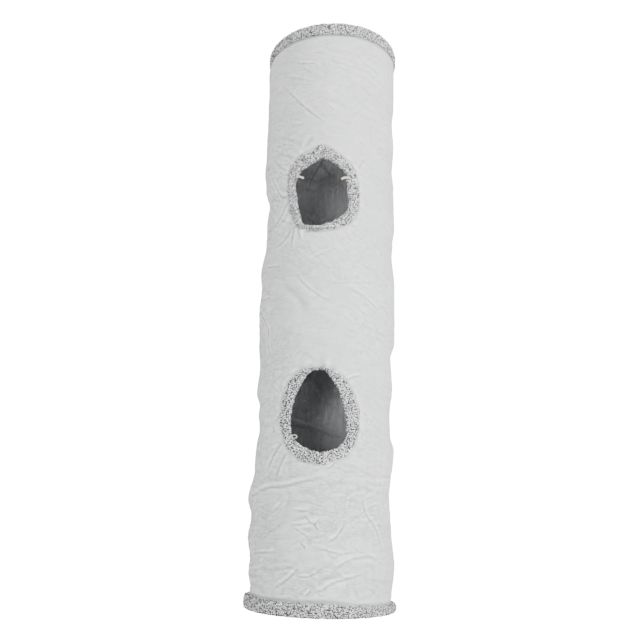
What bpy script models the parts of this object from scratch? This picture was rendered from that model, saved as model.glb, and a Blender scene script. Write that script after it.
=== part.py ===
"""Collapsible cat tunnel, stored and shown standing upright on one end.

A spring-steel wire wound as a helix holds a cloth tube open. The cloth is a suede outer skin and a
nylon lining, with a seam tape between them down the back. A casing tape holds the wire to the lining.
Each end of the wire lies flat in a fleece rim, where a crimped ferrule joins it to itself. Two peep
holes in the front, between turns of the wire, are bound with the same fleece.

Frame: metres, +Z up, origin on the floor at the middle of the bottom rim, front towards -Y.
"""

from math import atan2, ceil, cos, floor, pi, radians, sin, sqrt

import bmesh
import bpy
from mathutils import Vector

# Tube
TUNNEL_HEIGHT = 1.200
SKIN_RADIUS = 0.140
SKIN_WALL = 0.0014
LINING_WALL = 0.0007
LAYER_SPACE = 0.0016
SAG_DEPTH = 0.0040
SAG_RUN_IN = 0.090

# Wire
WIRE_DIAMETER = 0.0022
TURN_PITCH = 0.223
STEPS_PER_TURN = 24
PITCH_GROWTH_SHARE = 0.072
WIRE_START_ANGLE = radians(-47.0)
ROWS_PER_TURN = 3
DEAD_OVERLAP_STEPS = 4
DEAD_TURN_GAP = 0.0008
CORNER_TURNS = 0.06
WIRE_CLEARANCE = 0.0008

# Casing tape
CASING_WIDTH = 0.016
CASING_WALL = 0.0009
CASING_GAP = 0.0004
CASING_END_SPACE = 0.002

# Ferrules
FERRULE_LENGTH = 0.016
FERRULE_WALL = 0.0009
FERRULE_BORE_GAP = 0.0003
FERRULE_ARC_STEPS = 6
FERRULE_STEPS_IN = 1.5

# Seam tape
SEAM_TAPE_WIDTH = 0.018
SEAM_TAPE_WALL = 0.0008

# End rims
RIM_HEIGHT = 0.026
BOTTOM_RIM_PUFF = 0.0085
TOP_RIM_PUFF = 0.0055
RIM_INNER_LEG = 0.0032
RIM_FLOOR = 0.0045
RIM_FLAT_WIDTH = 0.007
RIM_LIP = 0.001
RIM_STEPS = 48
RIM_OUTER_ARC_STEPS = 3
RIM_INNER_ARC_STEPS = 2
TOUCH_GAP = 0.0003

# Peep holes, sizes of the clear opening inside the binding
HOLE_WIDTH = 0.112
UPPER_HOLE_HEIGHT = 0.145
LOWER_HOLE_HEIGHT = 0.152
UPPER_HOLE_TURNS = 4
LOWER_HOLE_TURNS = 2
UPPER_HOLE_BELOW_WIRE = 0.0324
LOWER_HOLE_BELOW_WIRE = 0.0193
HOLE_CENTRE_ANGLE = radians(-5.5)
OUTLINE_STEPS = 3
CUT_OVERRUN = 0.008

# Fleece binding round a peep hole
BINDING_WIDTH = 0.019
BINDING_INNER_WIDTH = 0.0095
BINDING_WALL = 0.0026
BINDING_GAP = 0.0006
BINDING_ROUNDING_SHARE = 1 / 3

# Cord ends left in the upper binding
CORD_END_DIAMETER = 0.0028
LEFT_CORD_END_LENGTH = 0.010
RIGHT_CORD_END_LENGTH = 0.015
CORD_END_BELOW_TOP = 0.0355
CORD_HOOK_DROP = 0.003
CORD_END_GAP = 0.0004
CORD_END_STEPS = 5

# Turns of cloth wound past each end before it is cut level
SPARE_TURNS = 1

# Edges sharper than this stay sharp in the shading
SHARP_ANGLE = radians(40)

# Points that the Screw leaves on one another are this near, and no others are
WELD_DISTANCE = 0.00002

# Outlines of the clear openings, as shares of half their width and of half their height
UPPER_OUTLINE_SHARES = (
    (-0.02, 1.00),
    (-0.40, 0.88),
    (-0.80, 0.74),
    (-1.00, 0.40),
    (-0.98, -0.18),
    (-0.82, -0.66),
    (-0.52, -0.95),
    (-0.08, -0.98),
    (0.42, -0.80),
    (0.88, -0.60),
    (1.00, -0.24),
    (0.95, 0.32),
    (0.82, 0.68),
    (0.38, 0.86),
)
LOWER_OUTLINE_SHARES = (
    (-0.08, 1.00),
    (-0.42, 0.84),
    (-0.72, 0.46),
    (-0.92, 0.00),
    (-0.95, -0.38),
    (-0.70, -0.72),
    (-0.26, -0.92),
    (0.22, -0.99),
    (0.66, -0.88),
    (0.97, -0.64),
    (1.00, -0.26),
    (0.90, 0.20),
    (0.66, 0.64),
    (0.28, 0.94),
)

# Sizes that follow from those above
CLOTH_WALL = SKIN_WALL + LAYER_SPACE + LINING_WALL
LINING_RADIUS = SKIN_RADIUS - SKIN_WALL - LAYER_SPACE
SEAM_TAPE_RADIUS = SKIN_RADIUS - SKIN_WALL - (LAYER_SPACE - SEAM_TAPE_WALL) / 2
FACET_DEPTH = SKIN_RADIUS * (1 - cos(pi / STEPS_PER_TURN))
WIRE_RADIUS = WIRE_DIAMETER / 2
FERRULE_RIM = FERRULE_BORE_GAP + FERRULE_WALL
WIRE_PATH_RADIUS = LINING_RADIUS - LINING_WALL - WIRE_CLEARANCE - FERRULE_WALL - WIRE_RADIUS
DEAD_TURN_RISE = WIRE_DIAMETER + DEAD_TURN_GAP
DEAD_TURNS = 1 + DEAD_OVERLAP_STEPS / STEPS_PER_TURN
FERRULE_DEPTH = WIRE_DIAMETER + 2 * FERRULE_RIM
FERRULE_HEIGHT = DEAD_TURN_RISE + FERRULE_DEPTH
HEM_HEIGHT = RIM_FLOOR + TOUCH_GAP
HELIX_BASE = HEM_HEIGHT + FERRULE_HEIGHT / 2 + DEAD_TURN_RISE / 2
HELIX_RISE = TUNNEL_HEIGHT - 2 * HELIX_BASE
LIVE_STEPS = round(STEPS_PER_TURN * HELIX_RISE / TURN_PITCH)
LIVE_TURNS = LIVE_STEPS / STEPS_PER_TURN
MEAN_PITCH = HELIX_RISE / LIVE_TURNS
SLOT_OUTER_RADIUS = SKIN_RADIUS + TOUCH_GAP
SLOT_INNER_RADIUS = WIRE_PATH_RADIUS - FERRULE_DEPTH / 2 - FACET_DEPTH - TOUCH_GAP
RIM_INNER_RADIUS = SLOT_INNER_RADIUS - RIM_INNER_LEG
BINDING_SLOT_TOP = BINDING_GAP
BINDING_SLOT_BOTTOM = -(CLOTH_WALL + FACET_DEPTH + BINDING_GAP)
BINDING_MIDDLE = (BINDING_SLOT_TOP + BINDING_SLOT_BOTTOM) / 2


def material(name, colour, roughness, metallic=0.0):
    """A Principled material with the part's colour and finish."""
    made = bpy.data.materials.new(name)
    made.use_nodes = True
    shader = made.node_tree.nodes["Principled BSDF"]
    shader.inputs["Base Color"].default_value = (*colour, 1.0)
    shader.inputs["Roughness"].default_value = roughness
    shader.inputs["Metallic"].default_value = metallic
    made.diffuse_color = (*colour, 1.0)
    return made


def clear_scene():
    for obj in list(bpy.data.objects):
        bpy.data.objects.remove(obj)


def new_collection(name):
    made = bpy.data.collections.new(name)
    bpy.context.scene.collection.children.link(made)
    return made


def add_object(name, data, group, finish=None):
    """Puts an object for this mesh or curve in a collection, with its material."""
    obj = bpy.data.objects.new(name, data)
    group.objects.link(obj)
    if finish is not None:
        data.materials.append(finish)
    return obj


def add_helper(name, data, helpers):
    """A cutter or guide, which isn't part of the model."""
    obj = add_object(name, data, helpers)
    obj.hide_render = True
    obj.display_type = "WIRE"
    return obj


def shade_round(obj):
    obj.data.shade_smooth()
    obj.data.set_sharp_from_angle(angle=SHARP_ANGLE)


def applied(obj):
    """The object with its modifiers, or its curve, turned into a welded mesh in world space."""
    bpy.context.view_layer.update()
    graph = bpy.context.evaluated_depsgraph_get()
    mesh = bpy.data.meshes.new_from_object(obj.evaluated_get(graph))
    mesh.transform(obj.matrix_world)
    shape = bmesh.new()
    shape.from_mesh(mesh)
    bmesh.ops.remove_doubles(shape, verts=shape.verts, dist=WELD_DISTANCE)
    shape.to_mesh(mesh)
    shape.free()
    name = obj.name
    group = obj.users_collection[0]
    hidden = obj.hide_render
    bpy.data.objects.remove(obj)
    if hidden:
        return add_helper(name, mesh, group)
    return add_object(name, mesh, group)


def rounded_clamp(turn):
    """The turn clamped to the live turns, with a parabola in place of each corner."""
    if turn < CORNER_TURNS:
        return max(0.0, turn + CORNER_TURNS) ** 2 / (4 * CORNER_TURNS)
    left = LIVE_TURNS - turn
    if left < CORNER_TURNS:
        return LIVE_TURNS - max(0.0, left + CORNER_TURNS) ** 2 / (4 * CORNER_TURNS)
    return turn


def height_at(turn):
    """Height of the live helix. Its lower turns lie closer, under the tube's own weight."""
    share = turn / LIVE_TURNS
    return HELIX_BASE + HELIX_RISE * share * (1 - PITCH_GROWTH_SHARE * (1 - share))


def turn_at(height):
    """The turn at which the live helix has this height."""
    rise = (height - HELIX_BASE) / HELIX_RISE
    slope = 1 - PITCH_GROWTH_SHARE
    return LIVE_TURNS * 2 * rise / (slope + sqrt(slope * slope + 4 * PITCH_GROWTH_SHARE * rise))


def front_pass(turns):
    """Height at which the wire passes the holes' middle line, this many turns above its first pass."""
    return height_at((HOLE_CENTRE_ANGLE - WIRE_START_ANGLE) / (2 * pi) + turns)


def on_wall(radius, angle, height):
    """A point by its angle from the front, which grows towards +X."""
    return Vector((radius * sin(angle), -radius * cos(angle), height))


def wire_point(turn):
    """A point of the wire's centre line, with the dead turns that lie flat in the rims."""
    live = rounded_clamp(turn)
    height = height_at(live) + DEAD_TURN_RISE * (turn - live)
    return on_wall(WIRE_PATH_RADIUS, WIRE_START_ANGLE + 2 * pi * turn, height)


def sag(angle, height):
    """How far the cloth lies inside its full radius: none on the wire, and full from the next row on."""
    from_rim = min(height, TUNNEL_HEIGHT - height) - RIM_HEIGHT
    share = min(1.0, max(0.0, from_rim / SAG_RUN_IN))
    fade = share * share * (3 - 2 * share)
    turns = turn_at(height) - (angle - WIRE_START_ANGLE) / (2 * pi)
    from_wire = abs(turns - round(turns))
    return SAG_DEPTH * fade * min(1.0, from_wire * ROWS_PER_TURN)


def profile_mesh(name, points, closed):
    """A line or a loop of points given as (radius, height), in the plane that a Screw turns."""
    shape = bmesh.new()
    verts = [shape.verts.new((radius, 0, height)) for radius, height in points]
    for first, second in zip(verts, verts[1:] + verts[:1] if closed else verts[1:]):
        shape.edges.new((first, second))
    mesh = bpy.data.meshes.new(name)
    shape.to_mesh(mesh)
    shape.free()
    return mesh


def screwed(name, points, closed, turns, steps, offset, group):
    """Turns a profile about Z from the angle where the wire starts."""
    obj = add_object(name, profile_mesh(name, points, closed), group)
    obj.rotation_euler.z = WIRE_START_ANGLE - pi / 2
    winding = obj.modifiers.new("winding", "SCREW")
    winding.angle = 2 * pi * turns
    winding.screw_offset = offset
    winding.steps = steps
    winding.render_steps = steps
    winding.use_merge_vertices = offset == 0
    winding.merge_threshold = WELD_DISTANCE
    winding.use_smooth_shade = True
    return obj


def wound(name, points, closed, first_turn, last_turn, group):
    """Winds a profile evenly along the wire, then moves each point to the wire's real pitch."""
    turns = last_turn - first_turn
    start = MEAN_PITCH * first_turn
    started = [(radius, height + start) for radius, height in points]
    steps = round(turns * STEPS_PER_TURN)
    obj = screwed(name, started, closed, turns, steps, MEAN_PITCH * turns, group)
    obj.rotation_euler.z += 2 * pi * first_turn
    obj = applied(obj)
    for vertex in obj.data.vertices:
        vertex.co.z = height_at(vertex.co.z / MEAN_PITCH)
    return obj


def cut_away(obj, point, outwards):
    """Cuts off what lies past a plane."""
    shape = bmesh.new()
    shape.from_mesh(obj.data)
    bmesh.ops.bisect_plane(
        shape,
        geom=[*shape.verts, *shape.edges, *shape.faces],
        dist=WELD_DISTANCE,
        plane_co=point,
        plane_no=outwards,
        clear_outer=True,
    )
    shape.to_mesh(obj.data)
    shape.free()


def cloth_tube(name, radius, group):
    """A tube of cloth as an open surface: its faces follow the wire, and its hems are level."""
    low, high = HEM_HEIGHT, TUNNEL_HEIGHT - HEM_HEIGHT
    first_turn = floor((low - HELIX_BASE) / MEAN_PITCH) - SPARE_TURNS
    last_turn = ceil((high - HELIX_BASE) / MEAN_PITCH) + SPARE_TURNS
    rows = range(ROWS_PER_TURN, -1, -1)
    profile = [(radius, MEAN_PITCH * row / ROWS_PER_TURN) for row in rows]
    obj = wound(name, profile, False, first_turn, last_turn, group)
    for vertex in obj.data.vertices:
        angle = atan2(vertex.co.x, -vertex.co.y)
        height = vertex.co.z
        vertex.co = on_wall(radius - sag(angle, height), angle, height)
    cut_away(obj, Vector((0, 0, low)), Vector((0, 0, -1)))
    cut_away(obj, Vector((0, 0, high)), Vector((0, 0, 1)))
    return obj


def give_wall(obj, wall):
    """Thickens an open surface inwards."""
    shell = obj.modifiers.new("wall", "SOLIDIFY")
    shell.thickness = wall
    shell.offset = -1
    shell.use_even_offset = True


def cut_by(obj, cutters):
    for cutter in cutters:
        cut = obj.modifiers.new(cutter.name, "BOOLEAN")
        cut.object = cutter
        cut.operation = "DIFFERENCE"
        cut.solver = "EXACT"


def smooth_loop(points, steps):
    """Points along a closed Catmull-Rom curve through the given ones."""
    found = []
    count = len(points)
    for index in range(count):
        before, first, second, after = (Vector(points[(index + k) % count]) for k in (-1, 0, 1, 2))
        for step in range(steps):
            t = step / steps
            found.append(
                (
                    2 * first
                    + (second - before) * t
                    + (2 * before - 5 * first + 4 * second - after) * t * t
                    + (3 * first - before - 3 * second + after) * t * t * t
                )
                / 2
            )
    return found


def hole_outline(shares, width, height, outset):
    """The outline of a hole drawn flat, set out from its clear opening by this much."""
    points = [(across * width / 2, up * height / 2) for across, up in shares]
    loop = smooth_loop(points, OUTLINE_STEPS)
    moved = []
    for index, point in enumerate(loop):
        along = loop[(index + 1) % len(loop)] - loop[index - 1]
        # The outline runs anticlockwise, so outwards is to the right of its direction
        moved.append(point + Vector((along.y, -along.x)).normalized() * outset)
    return moved


def flat_curve(name, loops):
    """A 2D curve of closed straight-sided loops."""
    curve = bpy.data.curves.new(name, "CURVE")
    curve.dimensions = "2D"
    curve.fill_mode = "BOTH"
    for loop in loops:
        spline = curve.splines.new("POLY")
        spline.points.add(len(loop) - 1)
        for target, point in zip(spline.points, loop):
            target.co = (point[0], point[1], 0, 1)
        spline.use_cyclic_u = True
    return curve


def round_wall(point, centre_height):
    """Where a point drawn flat lies on the wall: X is along the wall, Y up and Z out of its face."""
    angle = HOLE_CENTRE_ANGLE + point[0] / SKIN_RADIUS
    height = centre_height + point[1]
    return on_wall(SKIN_RADIUS - sag(angle, height) + point[2], angle, height)


def wrap_on_wall(obj, centre_height):
    for vertex in obj.data.vertices:
        vertex.co = round_wall(vertex.co, centre_height)


def hole_cutter(name, shares, height, centre_height, helpers):
    """What is cut from the cloth: the clear opening and the room for the binding's fold."""
    outline = hole_outline(shares, HOLE_WIDTH, height, BINDING_WALL + BINDING_GAP)
    curve = flat_curve(name, [outline])
    bulge = SKIN_RADIUS * (1 - cos(HOLE_WIDTH / 2 / SKIN_RADIUS))
    curve.extrude = CLOTH_WALL + bulge + CUT_OVERRUN
    cutter = applied(add_helper(name, curve, helpers))
    wrap_on_wall(cutter, centre_height)
    return cutter


def binding_profile():
    """The folded fleece in section: minus X out from the clear opening, Y out of the wall's face."""
    top = BINDING_SLOT_TOP + BINDING_WALL
    bottom = BINDING_SLOT_BOTTOM - BINDING_WALL
    depth = top - bottom
    round_off = depth * BINDING_ROUNDING_SHARE
    lip = BINDING_WALL / 2
    points = [
        (BINDING_WIDTH, BINDING_SLOT_TOP),
        (BINDING_WIDTH, BINDING_SLOT_TOP + lip),
        (BINDING_WIDTH - lip, top),
        (BINDING_WALL, top),
        (0, top - round_off),
        (0, bottom + round_off),
        (BINDING_WALL, bottom),
        (BINDING_INNER_WIDTH - lip, bottom),
        (BINDING_INNER_WIDTH, BINDING_SLOT_BOTTOM - lip),
        (BINDING_INNER_WIDTH, BINDING_SLOT_BOTTOM),
        (BINDING_WALL, BINDING_SLOT_BOTTOM),
        (BINDING_WALL, BINDING_SLOT_TOP),
    ]
    return [(-across, out) for across, out in points]


def hole_binding(name, shares, height, centre_height, section, group, finish):
    """Fleece folded over the cut edge of the cloth, drawn flat and bent round the wall."""
    curve = flat_curve(name, [hole_outline(shares, HOLE_WIDTH, height, 0)])
    curve.fill_mode = "NONE"
    curve.bevel_mode = "OBJECT"
    curve.bevel_object = section
    binding = applied(add_object(name, curve, group))
    wrap_on_wall(binding, centre_height)
    binding.data.materials.append(finish)
    shade_round(binding)
    return binding


def quarter(centre, reach, start, steps):
    """A quarter of an ellipse from start degrees, turning clockwise, without its first point."""
    found = []
    for step in range(1, steps + 1):
        angle = radians(start - 90 * step / steps)
        found.append((centre[0] + reach[0] * cos(angle), centre[1] + reach[1] * sin(angle)))
    return found


def rim_profile(outer_radius):
    """A puffy ring of folded fleece in section, flat underneath, with a slot for hem and wire."""
    half = RIM_HEIGHT / 2
    middle = (outer_radius + RIM_INNER_RADIUS) / 2
    flat_out = middle + RIM_FLAT_WIDTH / 2
    flat_in = middle - RIM_FLAT_WIDTH / 2
    lip_out = SLOT_OUTER_RADIUS + RIM_LIP
    lip_in = SLOT_INNER_RADIUS - RIM_LIP
    return [
        (SLOT_OUTER_RADIUS, RIM_HEIGHT),
        (lip_out, RIM_HEIGHT),
        *quarter((lip_out, half), (outer_radius - lip_out, half), 90, RIM_OUTER_ARC_STEPS),
        *quarter((flat_out, half), (outer_radius - flat_out, half), 0, RIM_OUTER_ARC_STEPS),
        (flat_in, 0),
        *quarter((flat_in, half), (flat_in - RIM_INNER_RADIUS, half), -90, RIM_INNER_ARC_STEPS),
        *quarter((lip_in, half), (lip_in - RIM_INNER_RADIUS, half), 180, RIM_INNER_ARC_STEPS),
        (SLOT_INNER_RADIUS, RIM_HEIGHT),
        (SLOT_INNER_RADIUS, RIM_FLOOR),
        (SLOT_OUTER_RADIUS, RIM_FLOOR),
    ]


def end_rim(name, outer_radius, at_top, group, finish):
    profile = rim_profile(outer_radius)
    if at_top:
        # Turned over, its points run the other way round, which keeps its faces outwards
        profile = [(radius, TUNNEL_HEIGHT - height) for radius, height in reversed(profile)]
    rim = screwed(name, profile, True, 1, RIM_STEPS, 0, group)
    rim = applied(rim)
    rim.data.materials.append(finish)
    shade_round(rim)
    return rim


def spring_wire(group, finish):
    """One unbroken wire: a flat turn in the bottom rim, the live helix, a flat turn in the top rim."""
    steps = LIVE_STEPS + 2 * (STEPS_PER_TURN + DEAD_OVERLAP_STEPS)
    points = [wire_point(step / STEPS_PER_TURN - DEAD_TURNS) for step in range(steps + 1)]
    curve = bpy.data.curves.new("spring_wire", "CURVE")
    curve.dimensions = "3D"
    spline = curve.splines.new("POLY")
    spline.points.add(len(points) - 1)
    for target, point in zip(spline.points, points):
        target.co = (*point, 1)
    curve.bevel_depth = WIRE_RADIUS
    curve.bevel_resolution = 1
    curve.use_fill_caps = True
    add_object("spring_wire", curve, group, finish)
    return points


def least_gap(points):
    """The least clear distance between two passes of the wire, measured on its points."""
    apart = STEPS_PER_TURN // 2
    least = min(
        (points[first] - points[second]).length
        for first in range(len(points))
        for second in range(first + apart, len(points))
    )
    return least - WIRE_DIAMETER


def casing_profile():
    """The tape in section: two flanges against the lining, and a hump inwards over the wire."""
    lining = LINING_RADIUS - LINING_WALL
    lean = SAG_DEPTH * (CASING_WIDTH / 2) / (MEAN_PITCH / ROWS_PER_TURN)
    face = lining - lean - CASING_GAP
    groove = WIRE_RADIUS + CASING_GAP
    groove_floor = WIRE_PATH_RADIUS - groove
    crown = groove_floor - CASING_WALL
    half = CASING_WIDTH / 2
    shoulder = groove + CASING_WALL
    return [
        (face, half),
        (face, groove + CASING_GAP),
        (groove_floor, groove),
        (groove_floor, -groove),
        (face, -groove - CASING_GAP),
        (face, -half),
        (face - CASING_WALL, -half),
        (crown, -shoulder / 2),
        (crown, shoulder / 2),
        (face - CASING_WALL, half),
    ]


def wire_casing(group, finish):
    """The tape along the live turns, from just above one rim to just below the other."""
    off_rim = RIM_HEIGHT + CASING_WIDTH / 2 + CASING_END_SPACE
    first_turn = ceil(turn_at(off_rim) * STEPS_PER_TURN) / STEPS_PER_TURN
    last_turn = floor(turn_at(TUNNEL_HEIGHT - off_rim) * STEPS_PER_TURN) / STEPS_PER_TURN
    casing = wound("wire_casing", casing_profile(), True, first_turn, last_turn, group)
    shape = bmesh.new()
    shape.from_mesh(casing.data)
    ends = [edge for edge in shape.edges if edge.is_boundary]
    bmesh.ops.holes_fill(shape, edges=ends, sides=0)
    bmesh.ops.recalc_face_normals(shape, faces=shape.faces)
    shape.to_mesh(casing.data)
    shape.free()
    casing.data.materials.append(finish)
    shade_round(casing)


def slot_loop(half_width, half_straight):
    """A slot's outline with round ends, upright."""
    loop = []
    for centre, start in ((half_straight, 0), (-half_straight, 180)):
        for step in range(FERRULE_ARC_STEPS + 1):
            angle = radians(start + 180 * step / FERRULE_ARC_STEPS)
            loop.append((half_width * cos(angle), centre + half_width * sin(angle)))
    return loop


def ferrule(name, tip_turn, inwards, group, finish):
    """A crimped sleeve over two passes of the wire, midway between two bends of its outline."""
    turn = tip_turn + inwards * FERRULE_STEPS_IN / STEPS_PER_TURN
    first = wire_point(turn - 0.5 / STEPS_PER_TURN)
    second = wire_point(turn + 0.5 / STEPS_PER_TURN)
    middle = (first + second) / 2 + Vector((0, 0, inwards * DEAD_TURN_RISE / 2))
    half_straight = DEAD_TURN_RISE / 2
    outer = slot_loop(WIRE_RADIUS + FERRULE_RIM, half_straight)
    bore = slot_loop(WIRE_RADIUS + FERRULE_BORE_GAP, half_straight)
    curve = flat_curve(name, [outer, bore])
    curve.extrude = FERRULE_LENGTH / 2
    sleeve = add_object(name, curve, group)
    sleeve.location = middle
    # Drawn upright in XY and run through along Z, it stands up and then turns along the wire
    sleeve.rotation_euler = (pi / 2, 0, atan2(second.y - first.y, second.x - first.x) + pi / 2)
    sleeve = applied(sleeve)
    sleeve.data.materials.append(finish)
    shade_round(sleeve)
    return sleeve


def seam_tape(group, finish):
    """The tape over the cloth's lengthwise seam, between skin and lining at the back."""
    tape = cloth_tube("seam_tape", SEAM_TAPE_RADIUS, group)
    cut_away(tape, Vector((0, 0, 0)), Vector((0, -1, 0)))
    for side in (-1, 1):
        cut_away(tape, Vector((side * SEAM_TAPE_WIDTH / 2, 0, 0)), Vector((side, 0, 0)))
    give_wall(tape, SEAM_TAPE_WALL)
    tape.data.materials.append(finish)


def edge_at(outline, up, side):
    """The outline's point on one side at this height over its centre, and the way into the opening."""
    for index, point in enumerate(outline):
        after = outline[(index + 1) % len(outline)]
        if (point.y - up) * (after.y - up) <= 0 and point.x * side > 0 and point.y != after.y:
            along = (after - point).normalized()
            return point.lerp(after, (up - point.y) / (after.y - point.y)), Vector((-along.y, along.x))
    raise ValueError("the cord end lies above or below the opening")


def cord_end(name, side, length, drop, centre_height, group, finish):
    """A short cut end of cord that comes out of the binding's fold into the opening."""
    up = UPPER_HOLE_HEIGHT / 2 - CORD_END_BELOW_TOP
    outline = hole_outline(UPPER_OUTLINE_SHARES, HOLE_WIDTH, UPPER_HOLE_HEIGHT, 0)
    root, inwards = edge_at(outline, up, side)
    curve = bpy.data.curves.new(name, "CURVE")
    curve.dimensions = "3D"
    spline = curve.splines.new("POLY")
    spline.points.add(CORD_END_STEPS)
    for step, target in enumerate(spline.points):
        share = step / CORD_END_STEPS
        place = root + inwards * (CORD_END_GAP + length * share)
        flat = Vector((place.x, place.y - drop * share * share, BINDING_MIDDLE))
        target.co = (*round_wall(flat, centre_height), 1)
    curve.bevel_depth = CORD_END_DIAMETER / 2
    curve.bevel_resolution = 2
    curve.use_fill_caps = True
    return add_object(name, curve, group, finish)


def main():
    clear_scene()
    group = new_collection("cat_tunnel")
    helpers = new_collection("cutters")
    suede = material("suede", (0.66, 0.67, 0.67), 0.9)
    nylon = material("lining_nylon", (0.10, 0.105, 0.115), 0.45)
    tape = material("tape", (0.12, 0.125, 0.135), 0.7)
    fleece = material("fleece", (0.50, 0.51, 0.54), 0.95)
    steel = material("spring_steel", (0.42, 0.42, 0.43), 0.3, 1.0)
    crimp = material("crimp_metal", (0.60, 0.60, 0.61), 0.4, 1.0)
    cord = material("cord", (0.75, 0.76, 0.75), 0.85)

    upper_centre = front_pass(UPPER_HOLE_TURNS) - UPPER_HOLE_BELOW_WIRE - UPPER_HOLE_HEIGHT / 2
    lower_centre = front_pass(LOWER_HOLE_TURNS) - LOWER_HOLE_BELOW_WIRE - LOWER_HOLE_HEIGHT / 2
    holes = (
        ("upper_hole", UPPER_OUTLINE_SHARES, UPPER_HOLE_HEIGHT, upper_centre),
        ("lower_hole", LOWER_OUTLINE_SHARES, LOWER_HOLE_HEIGHT, lower_centre),
    )
    cutters = [hole_cutter(name + "_cutter", *hole, helpers) for name, *hole in holes]
    for name, radius, wall, finish in (
        ("outer_skin", SKIN_RADIUS, SKIN_WALL, suede),
        ("inner_lining", LINING_RADIUS, LINING_WALL, nylon),
    ):
        cloth = cloth_tube(name, radius, group)
        cloth.data.materials.append(finish)
        shade_round(cloth)
        give_wall(cloth, wall)
        cut_by(cloth, cutters)

    section = add_helper("binding_section", flat_curve("binding_section", [binding_profile()]), helpers)
    for name, *hole in holes:
        hole_binding(name + "_binding", *hole, section, group, fleece)

    points = spring_wire(group, steel)
    print(f"least gap between passes of the wire: {least_gap(points) * 1000:.2f} mm")
    wire_casing(group, tape)
    seam_tape(group, tape)
    cord_end("left_cord_end", -1, LEFT_CORD_END_LENGTH, 0, upper_centre, group, cord)
    cord_end("right_cord_end", 1, RIGHT_CORD_END_LENGTH, CORD_HOOK_DROP, upper_centre, group, cord)
    end_rim("bottom_rim", SKIN_RADIUS + BOTTOM_RIM_PUFF, False, group, fleece)
    ferrule("bottom_ferrule", -DEAD_TURNS, 1, group, crimp)

    # The top rim and its ferrule move down together when the tunnel is pressed flat
    top_end = bpy.data.objects.new("top_end", None)
    group.objects.link(top_end)
    top_end.location.z = TUNNEL_HEIGHT
    bpy.context.view_layer.update()
    for moving in (
        end_rim("top_rim", SKIN_RADIUS + TOP_RIM_PUFF, True, group, fleece),
        ferrule("top_ferrule", LIVE_TURNS + DEAD_TURNS, -1, group, crimp),
    ):
        moving.parent = top_end
        moving.matrix_parent_inverse = top_end.matrix_world.inverted()


main()
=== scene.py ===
from contextlib import contextmanager
from math import ceil, pi, radians, sqrt, tau

import bmesh
import bpy
import numpy as np
from mathutils import Matrix, Vector


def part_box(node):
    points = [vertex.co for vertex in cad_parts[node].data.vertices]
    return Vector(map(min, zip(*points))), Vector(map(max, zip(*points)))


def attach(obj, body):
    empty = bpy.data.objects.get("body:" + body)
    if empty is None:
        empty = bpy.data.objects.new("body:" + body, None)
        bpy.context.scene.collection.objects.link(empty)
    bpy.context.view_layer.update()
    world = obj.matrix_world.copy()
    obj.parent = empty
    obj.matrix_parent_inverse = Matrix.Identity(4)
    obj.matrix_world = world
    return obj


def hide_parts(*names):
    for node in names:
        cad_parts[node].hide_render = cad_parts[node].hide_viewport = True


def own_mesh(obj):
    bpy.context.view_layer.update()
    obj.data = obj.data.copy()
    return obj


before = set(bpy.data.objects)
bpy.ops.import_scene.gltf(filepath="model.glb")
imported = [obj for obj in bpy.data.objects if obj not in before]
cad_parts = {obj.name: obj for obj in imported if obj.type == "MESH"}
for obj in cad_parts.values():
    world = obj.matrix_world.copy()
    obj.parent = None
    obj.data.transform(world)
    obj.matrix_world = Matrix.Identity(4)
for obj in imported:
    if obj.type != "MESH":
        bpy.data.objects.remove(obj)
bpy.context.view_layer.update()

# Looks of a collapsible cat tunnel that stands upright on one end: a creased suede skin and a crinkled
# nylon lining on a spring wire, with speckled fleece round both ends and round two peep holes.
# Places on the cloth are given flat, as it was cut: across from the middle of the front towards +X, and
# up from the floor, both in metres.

# Tube, at the sizes of the frame
TUNNEL_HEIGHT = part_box("top_rim")[1].z
HEM_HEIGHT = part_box("outer_skin")[0].z
HEM_TOP = TUNNEL_HEIGHT - HEM_HEIGHT
RIM_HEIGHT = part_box("bottom_rim")[1].z
SKIN_RADIUS = 0.140
ROUND = tau * SKIN_RADIUS

# Cloth: its walls, the faces that it is drawn with, the skin's triangles once thinned, how much wider
# than the clear opening each sheet is cut at a peep hole, and how near points are merged
SKIN_WALL = 0.0009
SKIN_FACE = 0.0030
SKIN_TRIANGLES = 94000
SKIN_CUT = 0.0040
LINING_WALL = 0.0006
LINING_FACE = 0.0056
LINING_CUT = 0.0025
MERGED = 0.00005

# More than any distance that is measured, and how many places are tested at a time
FAR = 9.0
BATCH = 4000

# Finer faces: how near a fold, a binding's edge or the seam they lie, and the depth at which folds
# start to get them
SKIN_FINE = 0.007
LINING_FINE = 0.011
LINING_FINEST = 0.006
SHALLOW_FOLD = 0.0006

# Droop of the top: how far it hangs lower than it was cut, how much more of that on the left and less
# on the right, and over what height
TOP_DROP = 0.0040
TOP_LEAN = 0.0045
DROOP_RUN = 0.110

# Sag of the cloth between the wire's passes: depth, run from the rims, the turns off a pass at which the
# wire lets go, and the depth, size and seed of its unevenness
SAG_DEPTH = 0.0038
SAG_RUN_IN = 0.090
SAG_TURNS = 0.17
SAG_SWELL = 0.0016
SAG_SWELL_SIZE = 0.09
SAG_SWELL_SEED = 3

# Fleece rims: radii, the top one's height, how much lower the bottom one is pressed on the right and on
# the left, and how far it spreads on the right
RIM_INNER_RADIUS = 0.1265
BOTTOM_RIM_RADIUS = 0.1475
TOP_RIM_RADIUS = 0.1448
TOP_RIM_HEIGHT = 0.029
PRESSED_RIGHT_SHARE = 0.38
PRESSED_LEFT_SHARE = 0.02
SPREAD_RIGHT = 0.0016
RIM_STEPS = 1020
RIM_SIDES = 92
RIM_WAVES = (3, 5, 8, 13, 21)
RIM_WIDTH_WAVE_SHARE = 0.05
RIM_HEIGHT_WAVE_SHARE = 0.035

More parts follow.
